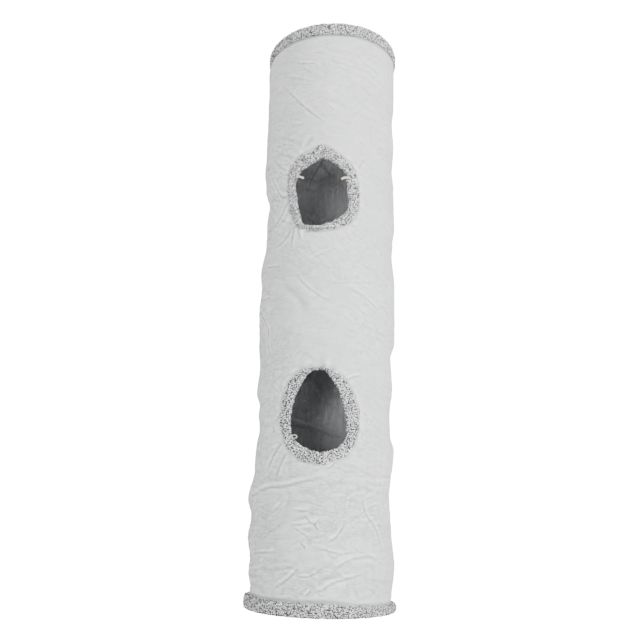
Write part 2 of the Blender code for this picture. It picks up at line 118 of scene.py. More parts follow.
# Fleece bindings: how deep they reach inside the cloth, how far they are sunk into it, and the waves of
# their width and of their place
BINDING_INSIDE = 0.0095
BINDING_SUNK = 0.0012
BINDING_WIDTH_WAVE_SHARE = 0.06
BINDING_WANDER = 0.00055
BINDING_STEPS = 46
BINDING_SIDES = 84
BINDING_WAVES = ((5, 9, 14), (7, 12, 19, 27))

# Tufts of the fleece, and how many share a swell, along a ring and round its section
TUFT = 0.0023
TUFT_HEIGHT = 0.0014
CLUMP = (4, 3)

# Tapes and stitches: the insets are from a tape's edge and from the seam
CASING_WIDTH = 0.016
CASING_END_SPACE = 0.002
CASING_OFF_LINING = 0.0002
CASING_STITCH = 0.0027
CASING_STITCH_INSET = 0.0016
CASING_STITCH_DEPTH = 0.0009
SEAM_TAPE_WIDTH = 0.018
SEAM_TAPE_DROPS = (0.0026, 0.0031)
SEAM_STITCH = 0.0030
SEAM_STITCH_INSET = 0.0032
SEAM_STITCH_RISE = 0.0001
SEAM_STITCH_START = 0.030
STITCH_SPACING = 0.0042
THREAD = 0.0007

# Section of the casing tape, up and out: flat at its edges, and swollen over the wire
CASING_SECTION = (
    (-CASING_WIDTH / 2, 0.0),
    (-CASING_WIDTH / 2, -0.0006),
    (-0.0066, -0.0009),
    (-0.0046, -0.0017),
    (-0.0023, -0.0026),
    (0.0, -0.0030),
    (0.0023, -0.0026),
    (0.0046, -0.0017),
    (0.0066, -0.0009),
    (CASING_WIDTH / 2, -0.0006),
    (CASING_WIDTH / 2, 0.0),
    (0.0040, 0.0),
    (0.0, -0.0002),
    (-0.0040, 0.0),
)

# Wire, as the part winds it
WIRE_RADIUS = 0.0011
WIRE_PATH_RADIUS = 0.1335
WIRE_START_ANGLE = radians(-47.0)
WIRE_BASE = 0.0101
LIVE_TURNS = 127 / 24
DEAD_TURNS = 1 + 4 / 24
DEAD_TURN_RISE = 0.0030
CORNER_TURNS = 0.06
PITCH_GROWTH_SHARE = 0.072
WIRE_RISE = TUNNEL_HEIGHT - 2 * WIRE_BASE
WIRE_STEPS = 48
WIRE_SIDES = 10
CASING_STEPS = 72

# Lining, which follows the skin inwards but keeps off it where it stands out, and the size, depth and
# seed of its crinkles
LINING_DROP = 0.0044
LINING_REACH = 0.0006
LINING_CRINKLES = ((0.115, 0.0010, 71), (0.052, 0.0006, 72))

# Cord ends and the loose yarn: the places that each runs through (across, up, and out from the skin's
# radius) and their radii
LEFT_CORD = (
    (-0.0750, 0.8510, -0.0036),
    (-0.0690, 0.8485, -0.0030),
    (-0.0640, 0.8465, -0.0022),
    (-0.0590, 0.8440, -0.0018),
    (-0.0556, 0.8420, -0.0018),
)
RIGHT_CORD = (
    (0.0400, 0.8425, -0.0030),
    (0.0350, 0.8425, -0.0022),
    (0.0290, 0.8410, -0.0016),
    (0.0245, 0.8375, -0.0016),
)
LOOSE_YARN = (
    (-0.0660, 0.3160, 0.0040),
    (-0.0581, 0.3190, 0.0060),
    (-0.0540, 0.3207, 0.0064),
    (-0.0500, 0.3200, 0.0066),
    (-0.0476, 0.3172, 0.0066),
    (-0.0492, 0.3150, 0.0064),
    (-0.0516, 0.3152, 0.0062),
)
LEFT_CORD_RADIUS = 0.0019
RIGHT_CORD_RADIUS = 0.0020
YARN_RADIUS = 0.0006
CORD_SIDES = 12

# Outlines of the clear openings: shares of half their width and half their height, and the width of the
# binding there in metres
HOLE_WIDTH = 0.112
HOLE_CENTRE = -5.5 / 360 * ROUND
UPPER_HOLE = {
    "name": "upper_hole",
    "centre": 0.80803,
    "height": 0.145,
    "outline": (
        (0.00, 1.04, 0.0247),
        (-0.31, 0.93, 0.0267),
        (-0.62, 0.82, 0.0270),
        (-0.90, 0.69, 0.0245),
        (-1.10, 0.48, 0.0204),
        (-1.11, 0.21, 0.0198),
        (-1.05, -0.07, 0.0208),
        (-0.99, -0.34, 0.0195),
        (-0.88, -0.57, 0.0180),
        (-0.81, -0.74, 0.0150),
        (-0.77, -0.88, 0.0118),
        (-0.63, -0.92, 0.0105),
        (-0.40, -0.96, 0.0103),
        (-0.10, -0.98, 0.0106),
        (0.22, -0.91, 0.0138),
        (0.52, -0.77, 0.0184),
        (0.80, -0.62, 0.0203),
        (0.97, -0.42, 0.0210),
        (0.97, -0.16, 0.0226),
        (0.93, 0.09, 0.0230),
        (0.92, 0.35, 0.0218),
        (0.88, 0.61, 0.0186),
        (0.61, 0.77, 0.0203),
        (0.32, 0.92, 0.0209),
    ),
}
LOWER_HOLE = {
    "name": "lower_hole",
    "centre": 0.36603,
    "height": 0.152,
    "outline": (
        (0.03, 1.04, 0.0034),
        (-0.17, 1.02, 0.0050),
        (-0.35, 0.92, 0.0110),
        (-0.55, 0.73, 0.0200),
        (-0.75, 0.49, 0.0232),
        (-0.90, 0.22, 0.0249),
        (-0.97, -0.06, 0.0238),
        (-1.00, -0.35, 0.0200),
        (-0.88, -0.62, 0.0199),
        (-0.57, -0.82, 0.0220),
        (-0.24, -0.94, 0.0222),
        (0.12, -1.00, 0.0192),
        (0.47, -0.95, 0.0200),
        (0.82, -0.84, 0.0200),
        (1.04, -0.63, 0.0197),
        (1.05, -0.34, 0.0246),
        (1.01, -0.05, 0.0268),
        (0.91, 0.21, 0.0272),
        (0.78, 0.46, 0.0238),
        (0.60, 0.71, 0.0188),
        (0.41, 0.90, 0.0110),
        (0.23, 1.02, 0.0048),
    ),
}

# Side outlines of the cloth: height, and how far it stands out from the skin's radius. The wire holds it
# out where it passes, and it falls in between.
LEFT_OUTLINE = (
    (0.026, -0.0030),
    (0.040, -0.0050),
    (0.060, 0.0003),
    (0.088, -0.0015),
    (0.130, 0.0043),
    (0.168, -0.0004),
    (0.203, 0.0068),
    (0.262, -0.0034),
    (0.300, -0.0037),
    (0.343, -0.0097),
    (0.368, -0.0057),
    (0.388, -0.0072),
    (0.412, -0.0010),
    (0.470, -0.0040),
    (0.522, -0.0002),
    (0.590, 0.0024),
    (0.636, -0.0006),
    (0.667, 0.0022),
    (0.742, -0.0068),
    (0.776, -0.0060),
    (0.828, -0.0097),
    (0.860, -0.0010),
    (0.902, 0.0028),
    (1.020, 0.0020),
    (1.095, 0.0028),
    (1.145, 0.0042),
    (1.190, -0.0002),
)
RIGHT_OUTLINE = (
    (0.026, 0.0000),
    (0.080, 0.0057),
    (0.150, -0.0012),
    (0.212, -0.0054),
    (0.303, 0.0035),
    (0.336, -0.0040),
    (0.378, -0.0050),
    (0.428, 0.0002),
    (0.495, -0.0034),
    (0.527, 0.0050),
    (0.650, 0.0044),
    (0.716, -0.0014),
    (0.745, 0.0002),
    (0.785, 0.0038),
    (0.870, 0.0018),
    (0.910, -0.0016),
    (0.970, 0.0014),
    (1.025, -0.0020),
    (1.071, 0.0014),
    (1.160, 0.0020),
    (1.190, 0.0030),
)

# Bearing of the side outlines from the front, and how far round each spreads
SIDE_ANGLE = radians(86)
SIDE_SPREAD = radians(34)

# Creases all over the skin: height, length and lean of their facets, their depth, and a seed
CRUMPLES = (
    (0.040, 0.085, 0.45, 0.0040, 11),
    (0.019, 0.044, 0.30, 0.0028, 12),
    (0.010, 0.026, 0.60, 0.0024, 13),
    (0.014, 0.020, -0.90, 0.0020, 14),
)

# How creased the skin is, from 0 to 1: everywhere, what is added low down, how much less of that there
# is on the right, and what is added higher up on the left. Low down ends over this run from this height.
CREASED = 0.42
CREASED_LOW = 0.43
CREASED_LOW_RIGHT = 0.18
CREASED_LEFT = 0.28
LOW_HEIGHT = 0.16
LOW_RUN = 0.22

# Size of the patches in which each kind of crease shows more or less
PATCH_SIZE = 0.085

# Deepest groove of the skin on the wire, and how much deeper one may be off it
GROOVE_ON_WIRE = 0.0030
GROOVE_OFF_WIRE = 0.0028

# Hollows, for the painted shade of the skin's creases and the painted highlight of its ridges: the depth
# that has the full tone, and the cell and the rounds of the smoothing that gives the level round about
HOLLOW_FULL = 0.00040
HOLLOW_CELL = 0.0022
HOLLOW_ROUNDS = 3

# How far the skin is drawn in at a rim, over what height, and how far off the rim that is most
BOTTOM_PINCH = 0.0026
BOTTOM_PINCH_RUN = 0.0044
TOP_PINCH = 0.0013
TOP_PINCH_RUN = 0.0045
PINCH_OFF_RIM = 0.001

# Ridge and groove of the lengthwise seam: depth and half width
SEAM_RIDGE = 0.0009
SEAM_RIDGE_HALF = 0.0050
SEAM_GROOVE = 0.0012
SEAM_GROOVE_HALF = 0.0022

# Puckers at the bindings: their number, their depth, what that gains where they are strongest, and how
# far they run out. Then the hole, a seed, the bearing where they are strongest, and how far they spread.
PUCKER_COUNT = 46
PUCKER_DEPTH = 0.0009
PUCKER_GAIN = 0.0030
PUCKER_RUN = 0.016
PUCKERED = ((UPPER_HOLE, 61, radians(-130), 0.45), (LOWER_HOLE, 62, radians(95), 0.55))

# Dip of the skin towards a binding, and its tuck right at the binding's edge, with the bearing of most
DIP_DEPTH = 0.0008
DIP_RUN = 0.008
TUCK_DEPTH = 0.0018
TUCK_RUN = 0.0026
TUCKED = radians(15)

# Folds and creases in the skin: depth, half width, then the places that each runs through. The share is
# how much of the depth is used.
FOLD_SHARE = 0.84
FOLDS = (
    (0.0010, 0.0024, ((-0.130, 1.080), (-0.055, 0.999), (-0.006, 0.955))),
    (0.0012, 0.0018, ((-0.085, 1.113), (-0.062, 1.106), (-0.037, 1.101))),
    (0.0009, 0.0018, ((-0.045, 1.127), (-0.025, 1.130))),
    (0.0006, 0.0018, ((-0.114, 1.090), (-0.052, 1.064))),
    (0.0006, 0.0018, ((0.012, 1.096), (0.034, 1.084))),
    (0.0008, 0.0021, ((-0.012, 1.007), (0.008, 0.990))),
    (0.0020, 0.0046, ((-0.056, 0.906), (-0.046, 0.920), (-0.036, 0.934))),
    (0.0024, 0.0027, ((-0.155, 0.877), (-0.121, 0.819), (-0.091, 0.809))),
    (0.0020, 0.0027, ((-0.121, 0.819), (-0.130, 0.793), (-0.148, 0.762))),
    (0.0022, 0.0030, ((-0.090, 0.802), (-0.109, 0.776), (-0.138, 0.752))),
    (0.0012, 0.0030, ((-0.160, 0.921), (-0.105, 0.871), (-0.087, 0.839))),
    (0.0010, 0.0023, ((0.151, 1.133), (0.160, 1.094), (0.172, 1.051))),
    (0.0008, 0.0030, ((0.080, 0.898), (0.060, 0.862))),
    (0.0018, 0.0023, ((-0.068, 0.744), (-0.058, 0.708))),
    (0.0022, 0.0030, ((-0.080, 0.742), (-0.100, 0.715), (-0.131, 0.703))),
    (0.0018, 0.0023, ((-0.075, 0.740), (-0.080, 0.692))),
    (0.0014, 0.0022, ((-0.162, 0.669), (-0.132, 0.664), (-0.105, 0.659))),
    (0.0010, 0.0024, ((-0.071, 0.642), (-0.044, 0.613), (-0.010, 0.588), (0.016, 0.580))),
    (0.0022, 0.0085, ((-0.107, 0.632), (-0.077, 0.606), (-0.050, 0.577), (-0.038, 0.549))),
    (0.0004, 0.0018, ((0.002, 0.622), (0.032, 0.618), (0.128, 0.635))),
    (0.0010, 0.0023, ((0.032, 0.614), (0.080, 0.597), (0.134, 0.563))),
    (0.0009, 0.0030, ((0.064, 0.571), (0.088, 0.554))),
    (0.0007, 0.0023, ((-0.039, 0.664), (0.014, 0.687))),
    (0.0016, 0.0019, ((0.046, 0.428), (0.058, 0.434), (0.074, 0.438))),
    (0.0018, 0.0027, ((-0.178, 0.578), (-0.139, 0.534), (-0.140, 0.503), (-0.122, 0.467))),
    (0.0020, 0.0027, ((-0.088, 0.378), (-0.096, 0.362), (-0.105, 0.348))),
    (0.0024, 0.0034, ((-0.082, 0.312), (-0.106, 0.285), (-0.126, 0.251))),
    (0.0020, 0.0030, ((-0.072, 0.293), (-0.087, 0.266), (-0.096, 0.238))),
    (0.0024, 0.0030, ((-0.172, 0.206), (-0.114, 0.224), (-0.072, 0.227), (0.010, 0.247))),
    (0.0018, 0.0019, ((-0.100, 0.180), (-0.088, 0.190), (-0.078, 0.197))),
    (0.0012, 0.0018, ((-0.059, 0.185), (-0.025, 0.183))),
    (0.0026, 0.0018, ((-0.031, 0.175), (-0.016, 0.160), (-0.003, 0.170))),
    (0.0016, 0.0018, ((-0.060, 0.157), (-0.014, 0.163))),
    (0.0022, 0.0018, ((-0.018, 0.165), (-0.005, 0.150))),
    (0.0018, 0.0019, ((0.011, 0.128), (0.029, 0.139), (0.050, 0.169))),
    (0.0013, 0.0018, ((-0.054, 0.154), (-0.016, 0.133))),
    (0.0014, 0.0018, ((-0.039, 0.129), (-0.027, 0.115))),
    (0.0014, 0.0018, ((-0.016, 0.122), (0.036, 0.110), (0.060, 0.113))),
    (0.0010, 0.0022, ((-0.143, 0.103), (-0.112, 0.107), (-0.080, 0.109))),
    (0.0020, 0.0019, ((-0.084, 0.048), (-0.059, 0.066), (-0.038, 0.086))),
    (0.0018, 0.0019, ((-0.044, 0.067), (-0.018, 0.071), (0.003, 0.083))),
    (0.0022, 0.0021, ((-0.002, 0.044), (0.027, 0.061), (0.085, 0.075))),
    (0.0010, 0.0023, ((0.023, 0.080), (0.058, 0.100), (0.122, 0.105))),
    (0.0014, 0.0023, ((0.081, 0.212), (0.093, 0.179), (0.117, 0.156), (0.139, 0.110))),
    (0.0010, 0.0018, ((0.053, 0.190), (0.058, 0.210))),
    (0.0018, 0.0018, ((-0.028, 0.034), (-0.013, 0.050))),
    (0.0010, 0.0030, ((-0.104, 0.077), (-0.072, 0.082), (-0.044, 0.084))),
    (0.0018, 0.0018, ((0.006, 0.259), (0.015, 0.263), (0.025, 0.272))),
)

# Creases of the lining at the back, where the peep holes show it
LINING_FOLDS = (
    (0.0011, 0.0020, ((-0.3870, 0.915), (-0.3924, 0.956), (-0.4139, 0.997), (-0.4230, 1.018))),
    (0.0005, 0.0018, ((-0.3700, 0.957), (-0.3924, 0.954), (-0.4080, 0.948))),
    (0.0005, 0.0020, ((-0.3980, 0.950), (-0.4158, 0.954), (-0.4360, 0.968))),
    (0.0009, 0.0018, ((-0.4020, 0.926), (-0.4181, 0.945))),
    (0.0012, 0.0055, ((-0.4160, 1.015), (-0.4337, 0.985), (0.4360, 0.968))),
    (0.0008, 0.0030, ((-0.3760, 0.866), (-0.3940, 0.852), (-0.4120, 0.843))),
    (0.0010, 0.0020, ((-0.4080, 0.464), (-0.4261, 0.442), (-0.4383, 0.422))),
    (0.0014, 0.0020, ((0.4200, 0.441), (0.4029, 0.425), (0.3900, 0.402))),
    (0.0009, 0.0020, ((0.4110, 0.410), (0.4285, 0.375))),
    (0.0009, 0.0018, ((0.4040, 0.402), (0.4180, 0.372))),
    (0.0009, 0.0020, ((-0.4330, 0.446), (0.4330, 0.404))),
)

# Camera, fitted to the height of the tunnel and the ellipses of its ends
LENS = 42.19
SENSOR_WIDTH = 36
CAMERA_PLACE = (0.0, -1.5455, 0.1959)
CAMERA_PITCH = 0.2411
CAMERA_ROLL = -0.0264
CAMERA_YAW = 0.0084

# Light: the surround's own, what it adds where it is seen, and what the floor adds there
SURROUND = 0.68
SEEN_WHITE = 19.0
SEEN_FLOOR = 19.0
FLOOR_SIZE = 12

# Soft lamps: place, the point that each faces, size and watts
LAMPS = {
    "key_lamp": ((2.30, -1.70, 1.30), (0, 0, 0.55), 0.6, 130),
    "fill_lamp": ((-1.3, -1.2, 2.5), (0, 0, 1.1), 0.7, 24),
    "front_lamp": ((-0.66, -2.35, 0.24), (0, 0, 0.50), 0.6, 33),
    "low_lamp": ((0.55, -2.35, 0.20), (0, 0, 0.42), 0.6, 9),
    "back_lamp": ((-0.60, 2.60, 1.40), (0, 0, 0.60), 0.8, 60),
    "top_lamp": ((0.13, -0.16, 2.7), (0, 0, 1.2), 1.0, 24),
}

# Colours of the suede, from the lower part's cool pair to the upper part's warmer one, what its blotches,
# grain and slubs turn to, then the painted shade of its creases and hollows and the painted highlight of
# its ridges
SUEDE_COOL = ((0.655, 0.665, 0.684), (0.726, 0.734, 0.752))
SUEDE_WARM = ((0.652, 0.674, 0.662), (0.722, 0.744, 0.732))
SUEDE_BLOTCH = (0.47, 0.485, 0.49)
SUEDE_GRAIN = (0.49, 0.505, 0.505)
SUEDE_SLUB = (0.52, 0.535, 0.535)
SUEDE_CREASE_SHADE = (0.36, 0.375, 0.38)
SUEDE_HOLLOW_SHADE = (0.34, 0.355, 0.36)
SUEDE_RIDGE_HIGHLIGHT = (0.90, 0.905, 0.90)

# Colours of the other finishes. A pair is what its pattern goes between.
NYLON = ((0.205, 0.207, 0.215), (0.275, 0.279, 0.288))
# Painted highlight up the lining's streaks
NYLON_STREAK_HIGHLIGHT = (0.38, 0.410, 0.450)
NYLON_DARK = (0.145, 0.147, 0.154)
# Painted highlight along the lining's crease lines
NYLON_CREASE_HIGHLIGHT = (0.37, 0.376, 0.390)
# Fleece: from the painted shade between its curls, which also makes its dark flecks, to its pale curls
FLEECE = ((0.055, 0.057, 0.063), (0.985, 0.988, 0.995))
TAPE = ((0.235, 0.245, 0.255), (0.300, 0.312, 0.322))
PALE_THREAD = ((0.42, 0.43, 0.44), (0.66, 0.67, 0.67))
SPRING_STEEL = (0.42, 0.42, 0.43)
PRESSED_STEEL = (0.60, 0.60, 0.61)
WHITE_CORD = (0.80, 0.80, 0.78)
CREAM_CORD = (0.80, 0.70, 0.58)
PILE_YARN = (0.84, 0.84, 0.85)
PALE_FLOOR = (0.86, 0.86, 0.86)


def smooth(share):
    """0 below 0, 1 above 1, and an even rise between."""
    share = np.clip(share, 0, 1)
    return share * share * (3 - 2 * share)


def unit(vectors):
    return vectors / np.linalg.norm(vectors, axis=-1)[..., None]


def eased(place, pairs):
    """A smooth line through (place, value) pairs, level at each of them."""
    places, values = np.array(pairs).T
    index = np.clip(np.searchsorted(places, place) - 1, 0, len(places) - 2)
    share = smooth((place - places[index]) / (places[index + 1] - places[index]))
    return values[index] + (values[index + 1] - values[index]) * share


def swells(across, up, size, seed, wide=None):
    """Smooth random swells from -1 to 1, of about this size, that meet at the back."""
    columns = max(3, round(ROUND / (wide or size)))
    rows = ceil(TUNNEL_HEIGHT / size) + 4
    table = np.random.default_rng(seed).uniform(-1, 1, (rows, columns))
    x = across / ROUND * columns
    y = np.clip(up / size + 1, 0, rows - 2)
    column, row = np.floor(x).astype(int), np.floor(y).astype(int)
    left, right = column % columns, (column + 1) % columns
    along, above = smooth(x - column), smooth(y - row)
    lower = table[row, left] * (1 - along) + table[row, right] * along
    upper = table[row + 1, left] * (1 - along) + table[row + 1, right] * along
    return lower * (1 - above) + upper * above


def cells(x, y, columns, rows, seed):
    """Distances to the nearest and the second nearest of a jittered grid of points, one a unit square,
    and a random number of the nearest. X meets itself after the columns."""
    draw = np.random.default_rng(seed)
    jitter = draw.uniform(0.1, 0.9, (rows + 3, columns, 2))
    marks = draw.uniform(0, 1, (rows + 3, columns))
    column, row = np.floor(x).astype(int), np.floor(y).astype(int)
    first = np.full(x.shape, FAR)
    second = np.full(x.shape, FAR)
    mark = np.zeros(x.shape)
    for step_x in (-1, 0, 1):
        for step_y in (-1, 0, 1):
            near_column = (column + step_x) % columns
            near_row = np.clip(row + step_y, -1, rows + 1) + 1
            off = jitter[near_row, near_column]
            gap = np.hypot(column + step_x + off[..., 0] - x, row + step_y + off[..., 1] - y)
            nearer = gap < first
            second = np.where(nearer, first, np.minimum(second, gap))
            mark = np.where(nearer, marks[near_row, near_column], mark)
            first = np.where(nearer, gap, first)
    return first, second, mark


def wire_height(turn):
    """Height of the wire's live turns. The lower ones lie closer, under the tube's own weight."""
    share = turn / LIVE_TURNS
    return WIRE_BASE + WIRE_RISE * share * (1 - PITCH_GROWTH_SHARE * (1 - share))


def wire_turn(up):
    """The turn at which the wire reaches a height."""
    rise = (up - WIRE_BASE) / WIRE_RISE
    slope = 1 - PITCH_GROWTH_SHARE
    return LIVE_TURNS * 2 * rise / (slope + np.sqrt(slope * slope + 4 * PITCH_GROWTH_SHARE * rise))


def from_wire(across, up):
    """How far a place on the cloth is from the nearest pass of the wire, in turns."""
    turns = wire_turn(up) - (across / SKIN_RADIUS - WIRE_START_ANGLE) / tau
    return np.abs(turns - np.round(turns))


def off_wire(across, up):
    """0 where the wire passes, and 1 from a little way off."""
    return smooth((from_wire(across, up) - 0.03) / 0.07)


def tube_radius(across, up):
    """The cloth's radius without its folds: full on the wire, less between, and uneven at the sides."""
    angle = across / SKIN_RADIUS
    off_rims = smooth((np.minimum(up, TUNNEL_HEIGHT - up) - RIM_HEIGHT) / SAG_RUN_IN)
    held = np.exp(-((from_wire(across, up) / SAG_TURNS) ** 2))
    base = -SAG_DEPTH * off_rims * (1 - held)
    base = base + SAG_SWELL * off_rims * (1 - held) * swells(across, up, SAG_SWELL_SIZE, SAG_SWELL_SEED)
    left = np.exp(-(((angle + SIDE_ANGLE) / SIDE_SPREAD) ** 2))
    right = np.exp(-(((angle - SIDE_ANGLE) / SIDE_SPREAD) ** 2))
    sides = left * eased(up, LEFT_OUTLINE) + right * eased(up, RIGHT_OUTLINE)
    return SKIN_RADIUS + base * (1 - left - right) + sides


def droop(angle, up):
    """How far the top of the tube hangs lower than it was cut, most on the left."""
    return (TOP_LEAN * np.sin(angle) - TOP_DROP) * smooth((up - TUNNEL_HEIGHT) / DROOP_RUN + 1)


def wall_point(across, up, radius):
    """Points in space for places on the cloth, at these distances from the tube's middle line."""
    angle = across / SKIN_RADIUS
    height = up + droop(angle, up)
    return np.stack([radius * np.sin(angle), -radius * np.cos(angle), height + 0 * radius], -1)


def smooth_line(points, steps, closed):
    """Points along a Catmull-Rom curve through the given ones."""
    points = np.array(points, float)
    if closed:
        points = np.concatenate([points[-1:], points, points[:2]])
    else:
        points = np.concatenate([2 * points[:1] - points[1:2], points, 2 * points[-1:] - points[-2:-1]])
    found = []
    for before, first, second, after in zip(points, points[1:], points[2:], points[3:]):
        bend = 2 * before - 5 * first + 4 * second - after
        twist = 3 * first - before - 3 * second + after
        for t in np.arange(steps) / steps:
            found.append((2 * first + (second - before) * t + bend * t * t + twist * t * t * t) / 2)
    if not closed:
        found.append(points[-2])
    return np.array(found)


def hole_loop(hole, steps=10):
    """The clear opening's outline on the flat cloth, with the binding's width at each point."""
    half = np.array([HOLE_WIDTH / 2, hole["height"] / 2, 1.0])
    loop = smooth_line(np.array(hole["outline"]) * half, steps, True)
    return loop + np.array([HOLE_CENTRE, hole["centre"], 0])


def loop_outwards(loop):
    """Unit vectors out of a loop that runs anticlockwise."""
    along = np.roll(loop[:, :2], -1, 0) - np.roll(loop[:, :2], 1, 0)
    return unit(np.stack([along[:, 1], -along[:, 0]], 1))


def round_hole(hole, across, up):
    """How far a place lies outside the clear opening, its bearing from the hole's middle, and the
    binding's width at that bearing."""
    loop = hole_loop(hole)
    x, y = loop[:, 0] - HOLE_CENTRE, loop[:, 1] - hole["centre"]
    bearings, reach = np.arctan2(y, x), np.hypot(x, y)
    order = np.argsort(bearings)
    here_x, here_y = across - HOLE_CENTRE, up - hole["centre"]
    bearing = np.arctan2(here_y, here_x)
    edge = np.interp(bearing, bearings[order], reach[order], period=tau)
    width = np.interp(bearing, bearings[order], loop[order, 2], period=tau)
    return np.hypot(here_x, here_y) - edge, bearing, width


def fold_depth(across, up, folds):
    """The folds, as a rise of the cloth: grooves, each with a lip along one side."""
    total = np.zeros(across.shape)
    for depth, half, places in folds:
        places = np.array(places)
        places[:, 0] = np.unwrap(places[:, 0], period=ROUND)
        route = smooth_line(places, 8, False)
        if np.abs(route[:, 0]).max() > ROUND / 2:
            across = np.where(across * route[0, 0] < 0, across + np.sign(route[0, 0]) * ROUND, across)
        low, high = route.min(0) - 5 * half, route.max(0) + 5 * half
        near = (across > low[0]) & (across < high[0]) & (up > low[1]) & (up < high[1])
        if not near.any():
            continue
        here = np.stack([across[near], up[near]], 1)
        least = np.full(len(here), FAR)
        side = np.ones(len(here))
        along = np.zeros(len(here))
        for index, (start, end) in enumerate(zip(route, route[1:])):
            run = end - start
            share = np.clip(((here - start) @ run) / (run @ run), 0, 1)
            off = here - start - share[:, None] * run
            gap = np.hypot(off[:, 0], off[:, 1])
            nearer = gap < least
            least = np.where(nearer, gap, least)
            side = np.where(nearer, np.sign(run[0] * off[:, 1] - run[1] * off[:, 0]), side)
            along = np.where(nearer, (index + share) / (len(route) - 1), along)
        ends = smooth(along / 0.3) * smooth((1 - along) / 0.3) * 0.85 + 0.15
        groove = np.exp(-((least / half) ** 2))
        lip = np.exp(-(((least * side - 2.2 * half) / (1.6 * half)) ** 2))
        total[near] += FOLD_SHARE * depth * ends * (0.6 * lip - groove)
    return total


def unrest(across, up):
    """How creased the skin is: most low down and on the left."""
    low = 1 - smooth((up - LOW_HEIGHT) / LOW_RUN)
    left = smooth((-across - 0.01) / 0.09) * smooth((0.98 - up) / 0.08)
    right = smooth((across - 0.01) / 0.06)
    low_down = (CREASED_LOW - CREASED_LOW_RIGHT * right) * low
    return np.clip(CREASED + low_down + CREASED_LEFT * left * (1 - low), 0, 1)


def crumple(across, up):
    """Crossing creases all over the skin: rounded facets that meet in valleys."""
    low = 1 - smooth((up - 0.14) / 0.24)
    strength = unrest(across, up)
    total = np.zeros(across.shape)
    for size, wide, lean, depth, seed in CRUMPLES:
        leaned = up + (lean - 1.7 * lean * low) * SKIN_RADIUS * np.sin(across / SKIN_RADIUS)
        bent = leaned + 0.4 * size * swells(across, up, 1.5 * size, seed + 20)
        wave = np.abs(swells(across, bent, size, seed, wide))
        shown = smooth(0.55 + 0.9 * swells(across, up, PATCH_SIZE, seed + 40))
        total += depth * shown * strength * (np.minimum(wave, 0.5) - 0.3)
    return total


def puckers(across, up):
    """Small folds that run out from the bindings, and how far the binding holds the skin smooth."""
    total = np.zeros(across.shape)
    held = np.ones(across.shape)
    for hole, seed, strong, spread in PUCKERED:
        out, bearing, width = round_hole(hole, across, up)
        off = out - width
        rays = np.random.default_rng(seed).uniform(-1, 1, PUCKER_COUNT)
        spot = (bearing / tau % 1.0) * PUCKER_COUNT
        index = np.floor(spot).astype(int) % PUCKER_COUNT
        ray = rays[index] + (rays[(index + 1) % PUCKER_COUNT] - rays[index]) * smooth(spot % 1.0)
        turn = np.abs((bearing - strong + pi) % tau - pi)
        strength = PUCKER_DEPTH + PUCKER_GAIN * np.exp(-((turn / spread) ** 2))
        total += strength * ray * np.exp(-np.abs(off) / PUCKER_RUN) * smooth((off + 0.010) / 0.012)
        held *= smooth((out - width * 0.35) / (width * 0.65 + 0.004)) * 0.85 + 0.15
        total -= DIP_DEPTH * np.exp(-((off / DIP_RUN) ** 2)) * (off > -0.02)
        tucked = 0.35 + 0.65 * smooth(1.2 - np.abs(bearing - TUCKED) / 0.9)
        total -= TUCK_DEPTH * tucked * np.exp(-(((off - TUCK_RUN) / TUCK_RUN) ** 2))
    return total, held


def skin_folds(across, up):
    """All that lies on the skin's even surface."""
    off_rims = smooth((np.minimum(up, TUNNEL_HEIGHT - up) - RIM_HEIGHT + 0.004) / 0.02)
    small, held = puckers(across, up)
    from_seam = ROUND / 2 - np.abs(across)
    even = held * (0.2 + 0.8 * smooth(from_seam / 0.02)) * off_rims
    total = even * (fold_depth(across, up, FOLDS) + crumple(across, up)) + small
    ridge = SEAM_RIDGE * np.exp(-((from_seam / SEAM_RIDGE_HALF) ** 4))
    total += ridge - SEAM_GROOVE * np.exp(-((from_seam / SEAM_GROOVE_HALF) ** 2))
    limit = GROOVE_ON_WIRE + GROOVE_OFF_WIRE * off_wire(across, up)
    return np.where(total < 0, -limit * np.tanh(-total / limit), total)


def rim_stand(angle):
    """How high the bottom rim stands, as a share of its full height: it is pressed flat on the right."""
    right, left = smooth(np.sin(angle)), smooth(-np.sin(angle))
    return 1 - PRESSED_RIGHT_SHARE * right - PRESSED_LEFT_SHARE * left


def hem_pinch(across, up):
    """How far the skin is drawn in where it goes into the rims: less at the top rim."""
    over_bottom = up - RIM_HEIGHT * rim_stand(across / SKIN_RADIUS)
    under_top = TUNNEL_HEIGHT - TOP_RIM_HEIGHT - up
    bottom = BOTTOM_PINCH * np.exp(-(((over_bottom - PINCH_OFF_RIM) / BOTTOM_PINCH_RUN) ** 2))
    return bottom + TOP_PINCH * np.exp(-(((under_top - PINCH_OFF_RIM) / TOP_PINCH_RUN) ** 2))


def skin_radius(across, up):
    """The skin's radius, with its folds, and drawn in where it goes into the rims."""
    return tube_radius(across, up) + skin_folds(across, up) - hem_pinch(across, up)


def lining_radius(across, up):
    """The crinkled lining: inside the skin, on the wire's casing, with creases that stand inwards."""
    even = np.minimum(tube_radius(across, up), SKIN_RADIUS + LINING_REACH) - LINING_DROP
    clear = off_wire(across, up)
    off_seam = smooth((ROUND / 2 - np.abs(across)) / 0.012)
    even = even + 0.9 * clear * off_seam * np.minimum(skin_folds(across, up), 0)
    off_rims = smooth((np.minimum(up, TUNNEL_HEIGHT - up) - RIM_HEIGHT) / 0.03)
    total = np.zeros(across.shape)
    for size, depth, seed in LINING_CRINKLES:
        bent_x = across + 0.5 * size * swells(across, up, size, seed + 20)
        bent_y = up + 0.5 * size * swells(across, up, size, seed + 30)
        columns, rows = round(ROUND / size), ceil(TUNNEL_HEIGHT / size)
        first, second, mark = cells(bent_x / ROUND * columns, bent_y / size, columns, rows, seed)
        total += depth * np.exp(-(((second - first) / 0.22) ** 2)) * (0.4 + 0.6 * mark)
        total += depth * 0.6 * first * first
    total -= fold_depth(across, up, LINING_FOLDS)
    return even - clear * off_rims * total


